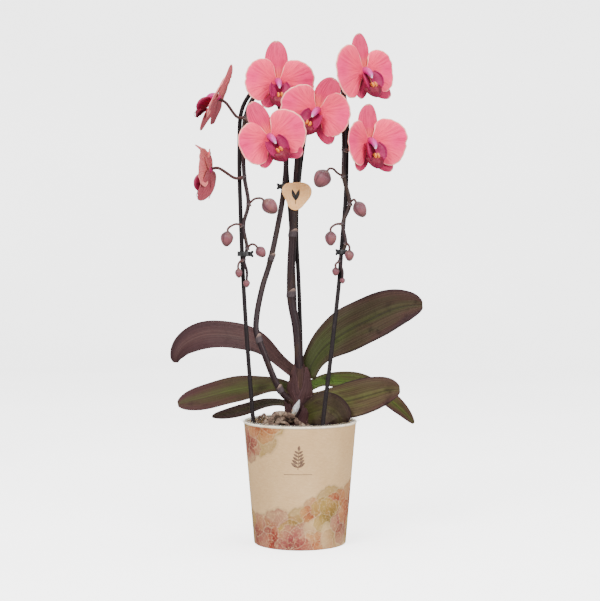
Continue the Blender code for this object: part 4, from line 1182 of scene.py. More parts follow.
stem_skin, join, add = new_finish("stem_skin", Specular_IOR_Level=0.14)
own = lie(add)
place = here(add)
streak = grain(add, own, (4.0, 0.35, 4.0), detail=4, roughness=0.6)
dapple = grain(add, place, (55, 55, 40), detail=3)
coat = ramp(add, streak, (0.28, "1a1215"), (0.5, "281c1f"), (0.74, "40302f"))
coat = blend(
    add, mask(add, dapple, 0.5, 0.7), coat, ramp(add, streak, (0.3, "281b17"), (0.7, "3f3026"))
)
fresh = ramp(add, streak, (0.3, "402827"), (0.7, "5a3b38"))
slim = add("Attribute", {}, out=2, attribute_name="slim")
join("Base Color", blend(add, calc(add, "MULTIPLY", slim, 0.85), coat, fresh))
join("Roughness", spread(add, dapple, 0.36, 0.52))
join("Normal", relief(add, streak, 0.00025))
dry, join, add = new_finish("dry_bract", Roughness=0.8)
papery = grain(add, lie(add), (9, 1, 1), detail=4)
edge = mask(add, split(add, lie(add), 1), 0.55, 1.0)
join(
    "Base Color",
    blend(
        add, edge, ramp(add, papery, (0.3, "2b2122"), (0.7, "43363a")),
        ramp(add, papery, (0.3, "6d5148"), (0.7, "9c8274"))
    )
)
join("Normal", relief(add, papery, 0.0002))


def stem_tube(path, radius, slim):
    """A stem with a slightly ribbed section, and how slim it is as a value on its points."""
    angle = np.linspace(0, 2 * np.pi, 20, endpoint=False)[None, :]
    skin = tube(path, radius[:, None] * (1 + 0.025 * np.sin(5 * angle)), 20)
    skin[2]["slim"] = np.full((len(skin[0]), 1), float(slim))
    return skin


def clasp(path, index, radius, height, toward):
    """A bract: a scale that wraps the stem at a joint, comes to a point, and leans off it."""
    forward = path[index + 1] - path[index - 1]
    forward /= np.linalg.norm(forward)
    out = np.asarray(toward, float) - forward * np.dot(toward, forward)
    out /= np.linalg.norm(out)
    beside = np.cross(forward, out)
    share, wrap = np.linspace(0, 1, 12)[:, None], np.linspace(-1, 1, 17)[None, :]
    half = np.radians(150 * (1 - share) ** 0.8 + 4)
    reach = (radius + 0.35 + 1.0 * share ** 1.5)[..., None]
    ring = out * np.cos(half * wrap)[..., None] + beside * np.sin(half * wrap)[..., None]
    middle = path[index] + forward * (height * (share - 0.25))[..., None] + ring * reach
    own = np.stack([wrap + 0 * share, share + 0 * wrap, 0 * share * wrap], axis=-1)
    return blade_skin(middle, 0.45 - 0.2 * share + 0 * wrap, lie=own)


for side, (points, radii, joints) in SPIKES.items():
    axis = np.asarray(points, float) + [0, 0, BARK_TOP]
    path = smooth_path(axis, STEPS)
    step = np.arange(len(path)) / STEPS
    radius = evenly(radii, len(path))
    nodes = np.array([*joints, *(n for n, _ in STALKS[side].values())])
    swelling = np.exp(-((step[:, None] - nodes[None, :]) / 0.10) ** 2).sum(axis=1)
    stems = [stem_tube(path, radius * (1 + 0.10 * np.clip(swelling, 0, 1)), 0)]
    bracts = []
    for at in joints:
        bracts.append(clasp(
            path, int(at * STEPS), evenly(radii, len(path))[int(at * STEPS)], 9.0, (0.8, -1, 0)
        ))
    for carries, (at, between) in STALKS[side].items():
        base = 1.5 if carries in FLOWERS else 1.15
        route = smooth_path(
            [axis[at], *(np.add(p, (0, 0, BARK_TOP)) for p in between), *stalk_end(carries)], 10
        )
        share = np.linspace(0, 1, len(route))
        thin = base * (1.0 + 0.35 * np.exp(-share / 0.10) + 0.22 * np.exp(-(1 - share) / 0.06))
        stems.append(stem_tube(route, thin, 1))
        bracts.append(clasp(
            path, at * STEPS, radius[at * STEPS] * 1.05, 4.5 if carries in FLOWERS else 3.2,
            route[6] - route[0]
        ))
    made_of(f"stem_{side}", joined(*stems), stem_skin, "stem", f"flower_spike_{side}")
    made_of(f"bracts_{side}", joined(*bracts), dry, "stem")


# ==== Blossoms ===========================================================================
# Seven moth-orchid blossoms. Behind are three narrow sepals, before them two broad petals that
# fan out from a claw, thin and velvety, coral pink with fine branching veins and a pale rim.
SEPAL_THICK, PETAL_THICK = 0.9, 0.8
PETAL_LIFT, PETAL_REACH, PETAL_AXIS, PETAL_HALF = 1.55, 37.5, 14.0, 66.0
# How each blossom stands: its centre's shift to the right and up; how deeply it is cupped; then
# for the left and the right petal the length, the turn in degrees against the clock and the
# sweep forward; for the top sepal the turn, length, half width and curl forward at its tip; and
# for the left and the right lower sepal the direction, length, half width and curl
BLOOMS = {
    "flower_1": (
        (0, 0), 0.0006, (0.95, 0, 0.14), (0.95, 0, -0.20), (0, 37.5, 10.5, 1.0),
        (234, 36, 10.8, -2.0), (306, 40, 12.5, -4.0)
    ),
    "flower_2": (
        (0, -2), 0.0015, (0.90, 0, 0.36), (0.86, 2, -0.04), (0, 28.0, 10.0, 13.0),
        (236, 32, 10.8, 9.0), (298, 33, 12.5, 8.0)
    ),
    "flower_3": (
        (-3.0, -1.5), 0.0035, (0.93, 0, 0.06), (1.0, -14, 0.06), (0, 41.5, 12.0, 0.5),
        (238, 30, 9.5, 0.0), (304, 33, 10.5, 0.0)
    ),
    "flower_4": (
        (-4.0, -3.5), 0.0035, (0.91, 2, 0.06), (0.98, -19, 0.06), (2, 40.0, 10.8, 1.5),
        (226, 32, 8.5, 1.0), (302, 36.5, 10.5, 1.0)
    ),
    "flower_5": (
        (0.8, -1.0), 0.0035, (1.0, 25, 0.06), (0.95, 3, 0.06), (-3, 37.0, 13.2, 3.0),
        (236, 34, 9.5, 0.5), (321, 37, 9.5, 0.5)
    ),
    "flower_6": (
        (4.6, -1.5), 0.0035, (1.13, 0, 0.10), (0.93, -20, 0.0), (2, 38.5, 10.8, 0.5),
        (240, 29, 8.5, 0.0), (304, 37.5, 10.0, 1.0)
    ),
    "flower_7": (
        (-4.2, -1.5), 0.0030, (0.95, 13, 0.34), (1.0, -13, 0.30), (4, 37.5, 11.8, 1.0),
        (237, 34, 8.5, 0.5), (307, 38, 10.5, 0.5)
    ),
}


def sepal_middle(toward, length, half_width, curl, cup, ripple):
    """A sepal's middle surface. Its half width is that of half an ellipse drawn towards the tip,
    which comes to a blunt point. It lies on the flower's cup, with a faint groove along the
    middle, edges that lean back, and a curl that grows with the cube of the share."""
    share = (np.sin(np.linspace(0, np.pi / 2, 40)) * 0.997)[:, None]
    side = np.sin(np.linspace(-1, 1, 25) * np.pi / 2)[None, :]
    heading = np.radians(toward)
    ellipse = (
        half_width * np.sqrt(np.clip(1 - (2 * share ** 1.12 - 1) ** 2, 0, 1))
        * (1 - 0.10 * share ** 4)
    )
    half = np.maximum(ellipse, 4.2 * (1 - 2.0 * share)) + 0.25
    along = length * share - 0.6 * np.exp(-(side / 0.12) ** 2) * share ** 8
    x = along * np.cos(heading) - np.sin(heading) * half * side
    y = along * np.sin(heading) + np.cos(heading) * half * side
    z = cup * (x * x + y * y) + curl * share ** 3 - 1.1 * (side * half / 10) ** 2 * (1 - 0.5 * share)
    z = (
        z - 0.45 * np.exp(-(side / 0.10) ** 2) * np.sin(np.pi * share)
        + 0.45 * side ** 2 * np.sin(9 * share + ripple + 3 * side)
    )
    own = np.stack([side + 0 * share, share + 0 * side, 0 * share * side], axis=-1)
    return np.stack([x, y, z], axis=-1), own, side, share


def petal_middle(handed, size, turn, sweep, cup, ripple):
    """A petal's middle surface, a fan from its claw. Rays leave at even angles about the petal's
    axis; the rim is furthest near the axis and drawn in at both shoulders by the root of one
    minus the cube of the ray's share, and more so on the upper side. The surface leans forward
    with distance, ripples between the rays and rolls back at the rim."""
    share = np.linspace(0, 1, 42)[:, None]
    ray = np.sin(np.linspace(-1, 1, 57) * np.pi / 2)[None, :]
    rim = PETAL_REACH * size * (0.50 + 0.50 * np.sqrt(np.clip(1 - np.abs(ray) ** 3, 0, 1)))
    rim = rim * (1 - 0.13 * ease(np.clip(ray, 0, 1) / 0.9)) * (1 + 0.010 * np.sin(7 * ray + ripple))
    rim = (
        rim
        * (1 - 0.022 * np.exp(-((ray + 0.10) / 0.045) ** 2) + 0.006 * np.sin(31 * ray + 2 * ripple))
    )
    out = 2.0 + (rim - 2.0) * share
    angle = np.radians(PETAL_AXIS + handed * turn + PETAL_HALF * ray * (0.84 + 0.16 * share))
    x, y = handed * out * np.cos(angle), out * np.sin(angle)
    z = PETAL_LIFT + cup * (x * x + y * y) + sweep * np.maximum(0, np.abs(x) - 4)
    z = (
        z + 0.8 * share ** 2 * np.sin(5.5 * ray + ripple) - 1.9 * share ** 6
        + 0.3 * share ** 2 * np.sin(23 * ray + ripple)
    )
    z = z - 0.5 * np.exp(-((ray + 0.08) / 0.05) ** 2) * np.sin(np.pi * share)
    own = np.stack([ray + 0 * share, share + 0 * ray, 0 * share * ray], axis=-1)
    # A left petal's rays run backwards, so that its face is at the front too
    facing = slice(None, None, handed)
    return np.stack([x, y, z], axis=-1)[:, facing], own[:, facing], ray[:, facing], share


def placed(skin, centre, axes):
    """A skin carried from a flower's own axes to its place."""
    return centre + skin[0] @ axes, skin[1], skin[2]


def velvet(name, heart, body, edge, rim, vein, back, band=None, veins=(9, 30), vein_share=0.5):
    """Petal skin: colours from the heart to the rim, a deeper band along the middle, veins along
    the rays that branch as they spread, a mottled bloom, a thin pale rim, and a duller back."""
    material, join, add = new_finish(
        name, Roughness=0.62, Specular_IOR_Level=0.12, Sheen_Weight=0.05, Sheen_Roughness=0.4
    )
    own = lie(add)
    across, along, side = (split(add, own, k) for k in range(3))
    out = calc(add, "ABSOLUTE", across)
    cloud = grain(add, here(add), (70, 70, 70), detail=4)
    wander = spread(add, cloud, -0.14, 0.14)
    reach = calc(add, "ADD", along, wander)
    coat = ramp(add, reach, (0.0, heart), (0.12, heart), (0.42, body), (0.95, edge))
    if band:
        near = mask(add, calc(add, "ADD", out, wander), 0.62, 0.05)
        far = mask(add, along, 0.30, 0.75)
        coat = blend(add, calc(add, "MULTIPLY", near, far), coat, tint(band))
    coarse = grain(add, own, (veins[0], 0.7, 1), detail=2, roughness=0.4)
    fine = grain(add, own, (veins[1], 1.6, 1), detail=3, roughness=0.55)
    hair = grain(add, own, (75, 3.4, 1), detail=3)
    branch = calc(add, "MAXIMUM", mask(add, coarse, 0.56, 0.68), mask(add, fine, 0.54, 0.64))
    branch = calc(add, "MAXIMUM", branch, calc(add, "MULTIPLY", mask(add, hair, 0.54, 0.64), 0.7))
    fade = calc(
        add, "MULTIPLY", branch, calc(add, "MULTIPLY", mask(add, along, 1.02, 0.80), vein_share)
    )
    coat = blend(add, fade, coat, tint(vein))
    border = calc(add, "MAXIMUM", mask(add, along, 0.945, 0.99), mask(add, out, 0.965, 1.0))
    coat = blend(add, calc(add, "MULTIPLY", border, 0.85), coat, tint(rim))
    under = calc(add, "MULTIPLY", mask(add, side, 0.1, -0.1), 0.75)
    coat = blend(
        add, under, coat, blend(add, calc(add, "MULTIPLY", branch, 0.35), tint(back), tint(vein))
    )
    join("Base Color", coat)
    join("Normal", relief(add, branch, 0.00025, 0.8))
    return material


petal_skin = velvet(
    "petal_velvet", "f0305a", "f83c60", "fa4c6c", "fdb0a0", "d01c54", "d88074", band="ec2a6c",
    vein_share=0.6
)
dorsal_skin = velvet(
    "sepal_velvet", "ee5a50", "e02c60", "e84470", "f6a898", "ac1446", "d0706e", veins=(7, 22),
    vein_share=0.5
)
deep_skin = velvet(
    "lower_sepal_velvet", "8a1436", "a82248", "b42c54", "e0848a", "6a0c2e", "b4585e", veins=(7, 22),
    vein_share=0.5
)

# The lip stands before them: two wings that rise beside the throat, a broad pointed tongue that ends in
# two curling whiskers, and a yellow callus; over it bends the column, whose pale tip is partly its cap and
# partly a painted highlight.
LIP_LIFT = 2.3


def wing_middle(handed):
    """A wing of the lip: it rises forward from its root, swells outwards and leans in again with
    the sine of its height, and its outline along the throat is the root of a sine arch."""
    rise, down = np.linspace(0, 1, 24)[:, None], np.linspace(0, 1, 29)[None, :]
    full = np.sqrt(np.sin(np.pi * (0.04 + 0.92 * down)))
    x = handed * (2.6 + 8.6 * np.sin(1.95 * rise) * (0.35 + 0.65 * full))
    y = -3.2 - 13.6 * down + 5.0 * rise * (0.45 - down)
    z = LIP_LIFT + 1.0 + 5.0 * down + 9.0 * rise * full + 0.35 * np.sin(8 * down) * rise
    own = np.stack([2 * down - 1 + 0 * rise, rise + 0 * down, 0 * rise * down], axis=-1)
    facing = slice(None, None, handed)
    return np.stack([x, y, z], axis=-1)[:, facing], own[:, facing]


def tongue_middle():
    """The tongue: a narrow neck that opens to two pointed corners and rounds in to the tip. It
    arches forward and down; its corners are swept up and its edges are turned back."""
    share, side = np.linspace(0, 1, 44)[:, None], np.linspace(-1, 1, 25)[None, :]
    opening = 3.0 + 7.6 * np.exp(-((share - 0.46) / 0.13) ** 2)
    closing = 10.6 * np.sqrt(np.clip(1 - ((share - 0.46) / 0.56) ** 2, 0, 1))
    half = np.where(share < 0.46, opening, closing) + 0.2
    x = half * side
    y = -13.0 - 14.5 * share + 0.30 * np.abs(x) * ease(share / 0.46)
    z = LIP_LIFT + 5.0 + 7.5 * np.sin(2.5 * share) - 0.055 * x * x + 0.9 * np.exp(-(side / 0.16) ** 2)
    own = np.stack([side + 0 * share, share + 0 * side, 0 * share * side], axis=-1)
    return np.stack([x, y + 0 * x, z], axis=-1), own


def whisker(handed):
    """A whisker at the tongue's tip: a thin tube that rises along it and hooks over."""
    route = [
        (0.5, -27.2, 10.6), (2.4, -27.2, 13.0), (4.6, -25.6, 14.6), (5.8, -23.2, 14.6),
        (5.2, -21.6, 13.6), (3.8, -22.0, 13.2)
    ]
    path = smooth_path([(x * handed, y, z + LIP_LIFT - 2.3) for x, y, z in route], 6)
    return tube(path, 0.42 - 0.22 * np.linspace(0, 1, len(path)), 10)


def egg(middle, sizes, rows=16, columns=20, lobes=0.0):
    """A closed egg: an ellipsoid with its equator drawn in and out by lobes times the cosine of
    three turns."""
    up = np.linspace(-0.96, 0.96, rows)[:, None] * np.pi / 2
    turn = np.linspace(0, 2 * np.pi, columns, endpoint=False)[None, :]
    out = np.cos(up) * (1 + lobes * np.cos(3 * turn))
    grid = np.stack(
        [
            sizes[0] * out * np.cos(turn), sizes[1] * out * np.sin(turn),
            sizes[2] * np.sin(up) + 0 * turn
        ],
        axis=-1
    )
    own = np.stack([np.cos(turn) + 0 * up, np.sin(up) + 0 * turn, np.sin(turn) + 0 * up], axis=-1)
    return round_skin(grid + np.asarray(middle, float), lie=own)


def lip_finish(name, inside, middle, rim, streaks, back, glow_to):
    """Lip skin: colours from the root or neck to the rim, dark streaks along it, and a warm
    flame in the throat."""
    material, join, add = new_finish(name, Roughness=0.5, Specular_IOR_Level=0.25)
    own = lie(add)
    along, side = split(add, own, 1), split(add, own, 2)
    cloud = grain(add, own, (2.0, 2.0, 1.0), detail=3)
    reach = calc(add, "ADD", along, spread(add, cloud, -0.15, 0.15))
    coat = ramp(
        add, reach, (0.0, inside), (glow_to, inside), (glow_to + 0.18, middle), (0.7, middle),
        (1.0, rim)
    )
    streak = mask(add, grain(add, own, (12, 1.0, 1), detail=3), 0.50, 0.62)
    coat = blend(add, calc(add, "MULTIPLY", streak, 0.6), coat, tint(streaks))
    coat = blend(add, calc(add, "MULTIPLY", mask(add, side, 0.1, -0.1), 0.7), coat, tint(back))
    join("Base Color", coat)
    join("Normal", relief(add, streak, 0.0003, 0.6))
    return material


wing_skin = lip_finish("lip_wing", "8a2432", "7a1032", "a01650", "52081e", "9f1756", 0.24)
tongue_skin = lip_finish("lip_tongue", "9a2c20", "72102a", "8c1c44", "4e0719", "6c1434", 0.10)
callus_skin, join, add = new_finish("callus", Roughness=0.45)
speck = grain(add, here(add), (1500, 1500, 1500), detail=2)
lump = ramp(add, grain(add, lie(add), (2, 2, 2)), (0.35, "c8601a"), (0.7, "e8962c"))
join("Base Color", blend(add, mask(add, speck, 0.55, 0.64), lump, tint("7a1c18")))
column_skin, join, add = new_finish("column_wax", Roughness=0.45, Specular_IOR_Level=0.3)
own = lie(add)
along = split(add, own, 1)
mottle = grain(add, own, (1.5, 3, 1.5), detail=3)
wander = calc(add, "ADD", along, spread(add, mottle, -0.12, 0.12))
# Partly painted highlight: the column pales to near white at its tip, over the colour of its cap.
join(
    "Base Color",
    ramp(
        add, wander, (0.15, "a8145a"), (0.6, "b42478"), (0.82, "c04a96"), (0.93, "e8b4d8"),
        (1.0, "f4e0f0")
    )
)

for number, name in enumerate(FLOWERS, 1):
    centre, axes = flower_axes(name)
    (right, up), cup, left_petal, right_petal, dorsal, *laterals = BLOOMS[name]
    centre = centre + right * axes[0] + up * axes[1]
    turn, length, half_width, curl = dorsal
    middle, own, side, share = sepal_middle(90 + turn, length, half_width, curl, cup, number)
    thick = SEPAL_THICK * (1 - 0.6 * side ** 4) * (1 - 0.5 * share ** 6)
    dorsal = placed(blade_skin(middle, thick, lie=own), centre, axes)
    made_of(f"bloom_{number}_top_sepal", dorsal, dorsal_skin, "sepal", f"{name}_sepals")
    lower = []
    for toward, length, half_width, curl in laterals:
        middle, own, side, share = sepal_middle(toward, length, half_width, curl, cup, number + toward)
        lower.append(placed(blade_skin(middle, thick, lie=own), centre, axes))
    made_of(f"bloom_{number}_lower_sepals", joined(*lower), deep_skin, "sepal", f"{name}_sepals")
    petals = []
    for handed, (size, turn, sweep) in ((-1, left_petal), (1, right_petal)):
        middle, own, ray, share = petal_middle(handed, size, turn, sweep, cup, 1.7 * number + handed)
        thick = PETAL_THICK * (1.15 - 0.7 * share ** 5) * (1 - 0.45 * ray ** 6)
        petals.append(placed(blade_skin(middle, thick, lie=own), centre, axes))
    made_of(f"bloom_{number}_petals", joined(*petals), petal_skin, "petal", f"{name}_petals")
    wings = [blade_skin(wing, 0.8, lie=own) for wing, own in (wing_middle(-1), wing_middle(1))]
    made_of(
        f"bloom_{number}_lip_wings", placed(joined(*wings), centre, axes), wing_skin, "lip",
        f"{name}_lip"
    )
    tongue, own = tongue_middle()
    tongue = joined(blade_skin(tongue, 0.8, lie=own), whisker(-1), whisker(1))
    made_of(
        f"bloom_{number}_lip_tongue", placed(tongue, centre, axes), tongue_skin, "lip",
        f"{name}_lip"
    )
    callus = joined(*(egg(
        (1.8 * h, -15.0, LIP_LIFT + 9.0), (1.6, 3.0, 2.6), lobes=0.10
    ) for h in (-1, 1)))
    made_of(f"bloom_{number}_callus", placed(callus, centre, axes), callus_skin, "lip", f"{name}_lip")
    bend = smooth_path(
        [(0, 1.0, 0.9), (0, 0.4, 4.4), (0, -1.6, 7.8), (0, -4.6, 9.8), (0, -7.0, 10.2)], 8
    )
    column = tube(bend, evenly((3.6, 3.4, 3.2, 2.5, 1.1), len(bend)), 22)
    run = column[2]["lie"]
    run[:, 1] = run[:, 1] / run[:, 1].max()
    made_of(f"bloom_{number}_column", placed(column, centre, axes), column_skin, "lip", f"{name}_lip")


# ==== Buds ===============================================================================
# Closed buds down the hanging ends of the spikes, largest at the top: plump, a little heart
# shaped where the stalk enters, with the seams of the folded sepals. Dusky rose over green.
bud_skin, join, add = new_finish("bud_skin", Roughness=0.5, Sheen_Weight=0.2, Specular_IOR_Level=0.35)
own = lie(add)
along = split(add, own, 1)
seam = add("Attribute", {}, out=2, attribute_name="seam")
cloud = grain(add, here(add), (90, 90, 90), detail=3)
flush = calc(add, "ADD", along, spread(add, cloud, -0.3, 0.3))
coat = ramp(add, flush, (0.0, "3c1e1f"), (0.25, "643640"), (0.6, "7e454b"), (1.0, "56302e"))
veins = grain(add, own, (6, 0.8, 6), detail=3)
coat = blend(add, calc(add, "MULTIPLY", mask(add, veins, 0.5, 0.65), 0.4), coat, tint("552632"))
coat = blend(add, calc(add, "MULTIPLY", mask(add, cloud, 0.52, 0.68), 0.35), coat, tint("8a6244"))
# Painted shade: the coat darkens towards near black along the seam creases.
join("Base Color", blend(add, calc(add, "MULTIPLY", seam, 0.7), coat, tint("2f1519")))
join("Normal", relief(add, veins, 0.0002))
for name, (foot, toward, length, width) in BUDS.items():
    toward = np.asarray(toward, float) / np.linalg.norm(toward)
    beside = np.cross(toward, (0.1, 1, 0.05))
    beside /= np.linalg.norm(beside)
    beyond = np.cross(toward, beside)
    up = np.linspace(0.03, 0.985, 36)[:, None] * np.pi
    turn = np.linspace(0, 2 * np.pi, 42, endpoint=False)[None, :]
    share = (1 - np.cos(up)) / 2
    crease = np.exp(-((np.abs((turn * 3 / (2 * np.pi)) % 1 - 0.5) - 0.5) / 0.05) ** 2) * np.sin(up)
    plump = width / 2 * np.sin(up) ** 0.9 * (1.20 - 0.50 * share) * (1 - 0.05 * crease)
    plump = plump * (1 + 0.03 * np.cos(2 * turn))
    out = (
        length * (share - 0.10 * np.exp(-(np.sin(up) / 0.45) ** 2) * (1 - share) ** 2) + 0.6
        + 0.06 * length * (1 - share)
    )
    grid = (
        plump[..., None] * (np.cos(turn)[..., None] * beside + np.sin(turn)[..., None] * beyond)
        + (out + 0 * turn)[..., None] * toward + np.add(foot, (0, 0, BARK_TOP))
    )
    own = np.stack([np.cos(turn) + 0 * up, share + 0 * turn, np.sin(turn) + 0 * up], axis=-1)
    made_of("rose_" + name, round_skin(grid, lie=own, seam=crease[..., None]), bud_skin, "bud", name)


# ==== Clips ==============================================================================
# Small black plastic clips that hold a spike to its wire: a ring round both, and a pair of
# ridged finger grips. The middle one also has a short neck to which the tag is fixed.
CLIPS = {
    "clip_left": ("left", "outer", 186, (6.5, -1.0)), "clip_right": (
        "right", "outer", 188, (-5.0, -1.0)
    ),
    "clip_centre": ("left", "inner", 256, (-5.0, -2.0)),
}
CLIP_WALL, CLIP_HEIGHT, CLIP_PLAY = 1.3, 5.0, 1.4


def crossing(path, leg, level):
    """Where a path passes a level, on its way up or its way down, and the share of its length."""
    above = np.flatnonzero(path[:, 2] > level)
    index = above[0] if leg == "inner" else above[-1]
    before = index - 1 if leg == "inner" else index + 1
    part = (level - path[before, 2]) / (path[index, 2] - path[before, 2])
    return path[before] + (path[index] - path[before]) * part, index / (len(path) - 1)


def clip_band(a, b, bore, z):
    """The ring: a rounded rectangle carried round the outline of a slot about the two stems."""
    heading = np.arctan2(b[1] - a[1], b[0] - a[0])
    turn = np.linspace(0, np.pi, 17)
    outline = np.concatenate([heading - np.pi / 2 + turn, heading + np.pi / 2 + turn])
    ends = np.repeat(np.array([b, a]), 17, axis=0)
    section = np.linspace(0, 2 * np.pi, 20, endpoint=False)
    thick = np.sign(np.cos(section)) * np.abs(np.cos(section)) ** 0.45 * CLIP_WALL / 2
    tall = np.sign(np.sin(section)) * np.abs(np.sin(section)) ** 0.45 * CLIP_HEIGHT / 2
    out = (bore + CLIP_WALL / 2 + thick)[None, :]
    x = ends[:, :1] + out * np.cos(outline)[:, None]
    y = ends[:, 1:2] + out * np.sin(outline)[:, None]
    grid = np.stack([x, y, z + tall[None, :] + 0 * x], axis=-1)
    rows, columns = grid.shape[:2]
    index = np.pad(np.arange(rows * columns).reshape(rows, columns), ((0, 1), (0, 1)), mode="wrap")
    faces = np.stack(
        [index[:-1, :-1], index[:-1, 1:], index[1:, 1:], index[1:, :-1]], axis=-1
    ).reshape(-1, 4)
    return grid.reshape(-1, 3), [faces], {}


def paddle(root, reach, half_width, thick, lean):
    """A finger grip: a flat tongue that widens to a round end, ridged across, and leans up."""
    share, side = np.linspace(0, 1, 30)[:, None], np.linspace(-1, 1, 9)[None, :]
    length = np.hypot(*reach)
    ahead = np.array([reach[0], reach[1], 0]) / length
    half = (
        half_width * (0.62 + 0.38 * ease(share / 0.6))
        * np.sqrt(1.02 - np.clip((share - 0.6) / 0.4, 0, 1) ** 2)
    )
    ridge = 0.16 * np.sin(share * 26) * ease((share - 0.25) / 0.1)
    middle = (
        np.array(root) + ahead * (length * share)[..., None]
        + np.array([0, 0, 1.0]) * (half * side + lean * share ** 1.5 * length)[..., None]
    )
    return blade_skin(middle, thick + 2 * ridge + 0 * side)


black, join, add = new_finish("black_moulding", Specular_IOR_Level=0.5)
rub = grain(add, here(add), (350, 350, 350), detail=5)
join("Base Color", ramp(add, rub, (0.4, "0e0e0f"), (0.62, "18181a"), (0.8, "2c2c2e")))
join("Roughness", spread(add, rub, 0.32, 0.6))
join("Normal", relief(add, rub, 0.00008))
for name, (side, leg, level, grip) in CLIPS.items():
    stem = smooth_path(np.asarray(SPIKES[side][0], float) + [0, 0, BARK_TOP], 10)
    on_wire, _ = crossing(wire_route(side), leg, BARK_TOP + level)
    on_stem, share = crossing(stem, leg, BARK_TOP + level)
    bore = max(WIRE_R, np.interp(share, np.linspace(0, 1, 10), SPIKES[side][1])) + CLIP_PLAY
    a, b = on_wire[:2], on_stem[:2]
    reach = np.asarray(grip, float)
    root = b + reach / np.linalg.norm(reach) * (bore + CLIP_WALL * 0.6)
    z = on_wire[2]
    parts = [clip_band(a, b, bore, z)]
    for lean in (0.28, -0.28):
        parts.append(paddle((*root, z + 4 * lean), reach * 0.62, 1.7, 1.1, lean))
    if leg == "inner":
        foot = np.array([b[0], b[1] - bore - CLIP_WALL / 2, z])
        head = np.array([b[0] + 1.0, b[1] - 9.0 + 0.75 + 0.5, z])
        neck = tube(
            foot + (head - foot) * np.linspace(0, 1, 12)[:, None],
            1.4 + 0.15 * np.cos(np.linspace(0, 6, 12)), 14
        )
        parts.append((neck[0], neck[1], {}))
    made_of("moulded_" + name, joined(*parts), black, "clip", name, crease=45)


# ==== Tag ================================================================================
# A rounded triangle of peach card on edge before the stem, held by the middle clip's neck. It carries a
# plain leaf in black ink.
TAG_R, TAG_THICK, TAG_TILT = 14.5, 1.5, 32.0
low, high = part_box("tag")


def tag_reach(turn):
    """The tag's radius in a direction: a circle with three soft corners, fuller on one side."""
    return TAG_R + 1.9 * np.cos(3 * turn + 0.35) + 1.7 * np.cos(turn + 0.1)


turn = np.linspace(0, 2 * np.pi, 96, endpoint=False)[None, :]
bow = np.linspace(-np.pi / 2, np.pi / 2, 7)
inset = np.concatenate([[14.3, 10, 5], 0.35 - 0.35 * np.cos(bow), [5, 10, 14.3]])[:, None]
half = TAG_THICK / 2
face = np.concatenate([[-half] * 3, half * np.sin(bow), [half] * 3])[:, None]
reach = tag_reach(turn)
scale = 1 - inset / TAG_R
tilt = np.radians(TAG_TILT)
across, upward = reach * scale * np.cos(turn), reach * scale * np.sin(turn)
px, pz = across * np.cos(tilt) - upward * np.sin(tilt), across * np.sin(tilt) + upward * np.cos(tilt)
edge_turn = np.linspace(0, 2 * np.pi, 720)
edge_r = tag_reach(edge_turn)
edge_x, edge_z = edge_r * np.cos(edge_turn + tilt), edge_r * np.sin(edge_turn + tilt)
TAG_X = (low[0] + high[0]) * 500 - (edge_x.max() + edge_x.min()) / 2
TAG_Z = (low[2] + high[2]) * 500 - (edge_z.max() + edge_z.min()) / 2
TAG_Y = (low[1] + high[1]) * 500
tag_grid = np.stack([TAG_X + px, TAG_Y - face + 0 * px, TAG_Z + pz], axis=-1)
peach, join, add = new_finish("peach_card", Roughness=0.6)
place = here(add)
pulp = grain(add, place, (500, 500, 500), detail=5)
join("Base Color", ramp(add, pulp, (0.3, "eeac68"), (0.55, "f6bc7c"), (0.8, "fac890")))
join("Normal", relief(add, pulp, 0.00005))
made_of("card_tag", round_skin(tag_grid), peach, "tag_card", "tag", crease=60)


def tag_leaf(x, z, length, breadth, heading):
    """A printed leaf on the tag's front: a sine arch along its length, a hair off the card."""
    share, side = np.linspace(0.01, 0.99, 16)[:, None], np.linspace(-1, 1, 7)[None, :]
    c, s = np.cos(np.radians(heading)), np.sin(np.radians(heading))
    along, over = length * share, side * breadth * np.sin(np.pi * share) ** 0.9
    middle = [
        TAG_X + x + along * c - over * s, TAG_Y - TAG_THICK / 2 - 0.08 + 0 * over,
        TAG_Z + z + along * s + over * c
    ]
    return blade_skin(np.stack(middle, axis=-1), 0.08)


mark = [tag_leaf(0.5, -5.5, 12.5, 1.9, lean) for lean in (72, 108)]
mark.append(tag_leaf(0.5, -9.5, 5.0, 0.45, 90))
black_ink, join, add = new_finish("black_print_ink", Roughness=0.6)
join(
    "Base Color",
    ramp(add, grain(add, here(add), (800, 800, 800), detail=3), (0.35, "0f0c0b"), (0.7, "241d1a"))
)
made_of("tag_print", joined(*mark), black_ink, "tag_card")


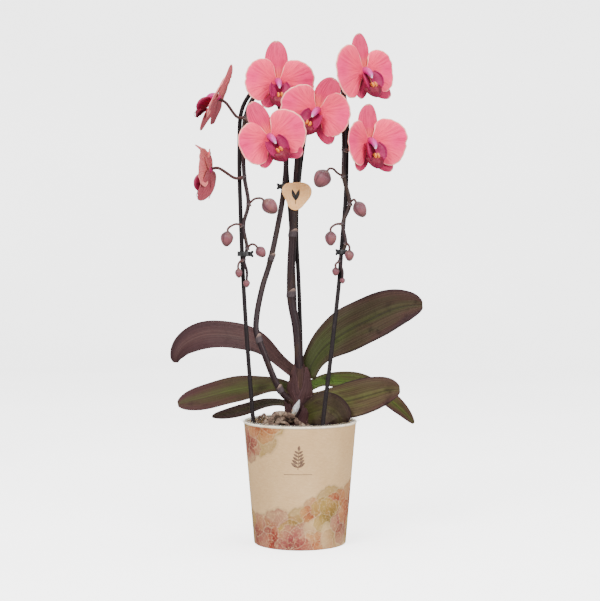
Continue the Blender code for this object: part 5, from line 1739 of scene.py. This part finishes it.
# ==== Studio =============================================================================
# A round pale floor that curves up into a wall on every side and glows a little, soft light from
# above, left and right, and a camera level with the middle of the plant.
FLOOR_R, BEND_R = 2.2, 0.9
out = np.concatenate([
    np.linspace(0.02, FLOOR_R, 14), FLOOR_R + BEND_R * np.sin(np.linspace(0.08, 1, 14) * np.pi / 2), [FLOOR_R + BEND_R] * 4
])[:, None]
lift = np.concatenate([
    np.zeros(14), BEND_R - BEND_R * np.cos(np.linspace(0.08, 1, 14) * np.pi / 2), [1.4, 2.2, 3.2, 4.4]
])[:, None]
turn = np.linspace(0, 2 * np.pi, 96, endpoint=False)[None, :]
bowl = np.stack([out * np.cos(turn), out * np.sin(turn), lift + 0 * turn], axis=-1)
backdrop = bpy.data.meshes.new("backdrop")
rings = grid_faces(*bowl.shape[:2], True)
backdrop.from_pydata(bowl.reshape(-1, 3).tolist(), [], rings.tolist() + [list(range(96))])
backdrop.shade_smooth()
paper, join, add = new_finish(
    "studio_paper", Roughness=0.9, Specular_IOR_Level=0.0, Emission_Strength=2.7
)
join("Base Color", ramp(add, grain(add, here(add), (2, 2, 2)), (0.3, "f6f5f4"), (0.7, "faf9f9")))
join("Emission Color", ramp(add, grain(add, here(add), (2, 2, 2)), (0.3, "f8f8f8"), (0.7, "ffffff")))
backdrop.materials.append(paper)
floor = bpy.data.objects.new("backdrop", backdrop)
bpy.context.scene.collection.objects.link(floor)
floor.visible_diffuse = floor.visible_glossy = floor.visible_shadow = False

world = bpy.data.worlds.new("soft_room")
world.use_nodes = True
world.node_tree.nodes["Background"].inputs["Color"].default_value = (1.0, 1.0, 1.0, 1.0)
world.node_tree.nodes["Background"].inputs["Strength"].default_value = 0.75
bpy.context.scene.world = world
LAMPS = {
    "key_window": ((-1.0, -1.7, 1.5), 1.3, 80.0), "fill_window": ((1.5, -1.5, 0.8), 1.4, 52.0),
    "top_window": ((0.1, 0.2, 1.9), 1.2, 30.0),
}
for name, (at, size, watts) in LAMPS.items():
    lamp = bpy.data.lights.new(name, "AREA")
    lamp.shape, lamp.size, lamp.energy = "DISK", size, watts
    holder = bpy.data.objects.new(name, lamp)
    holder.location = at
    holder.visible_camera = False
    away = holder.location - Vector((0, 0, 0.27))
    holder.rotation_euler = away.to_track_quat("Z", "Y").to_euler()
    bpy.context.scene.collection.objects.link(holder)

VIEW_FROM, VIEW_AT = (0.0, -1.6, 0.32), (0, 0, 0.253)
lens = bpy.data.cameras.new("view")
lens.lens, lens.sensor_width = 92.1, 36.0
camera = bpy.data.objects.new("view", lens)
camera.location = VIEW_FROM
camera.rotation_euler = (camera.location - Vector(VIEW_AT)).to_track_quat("Z", "Y").to_euler()
bpy.context.scene.collection.objects.link(camera)
bpy.context.scene.camera = camera
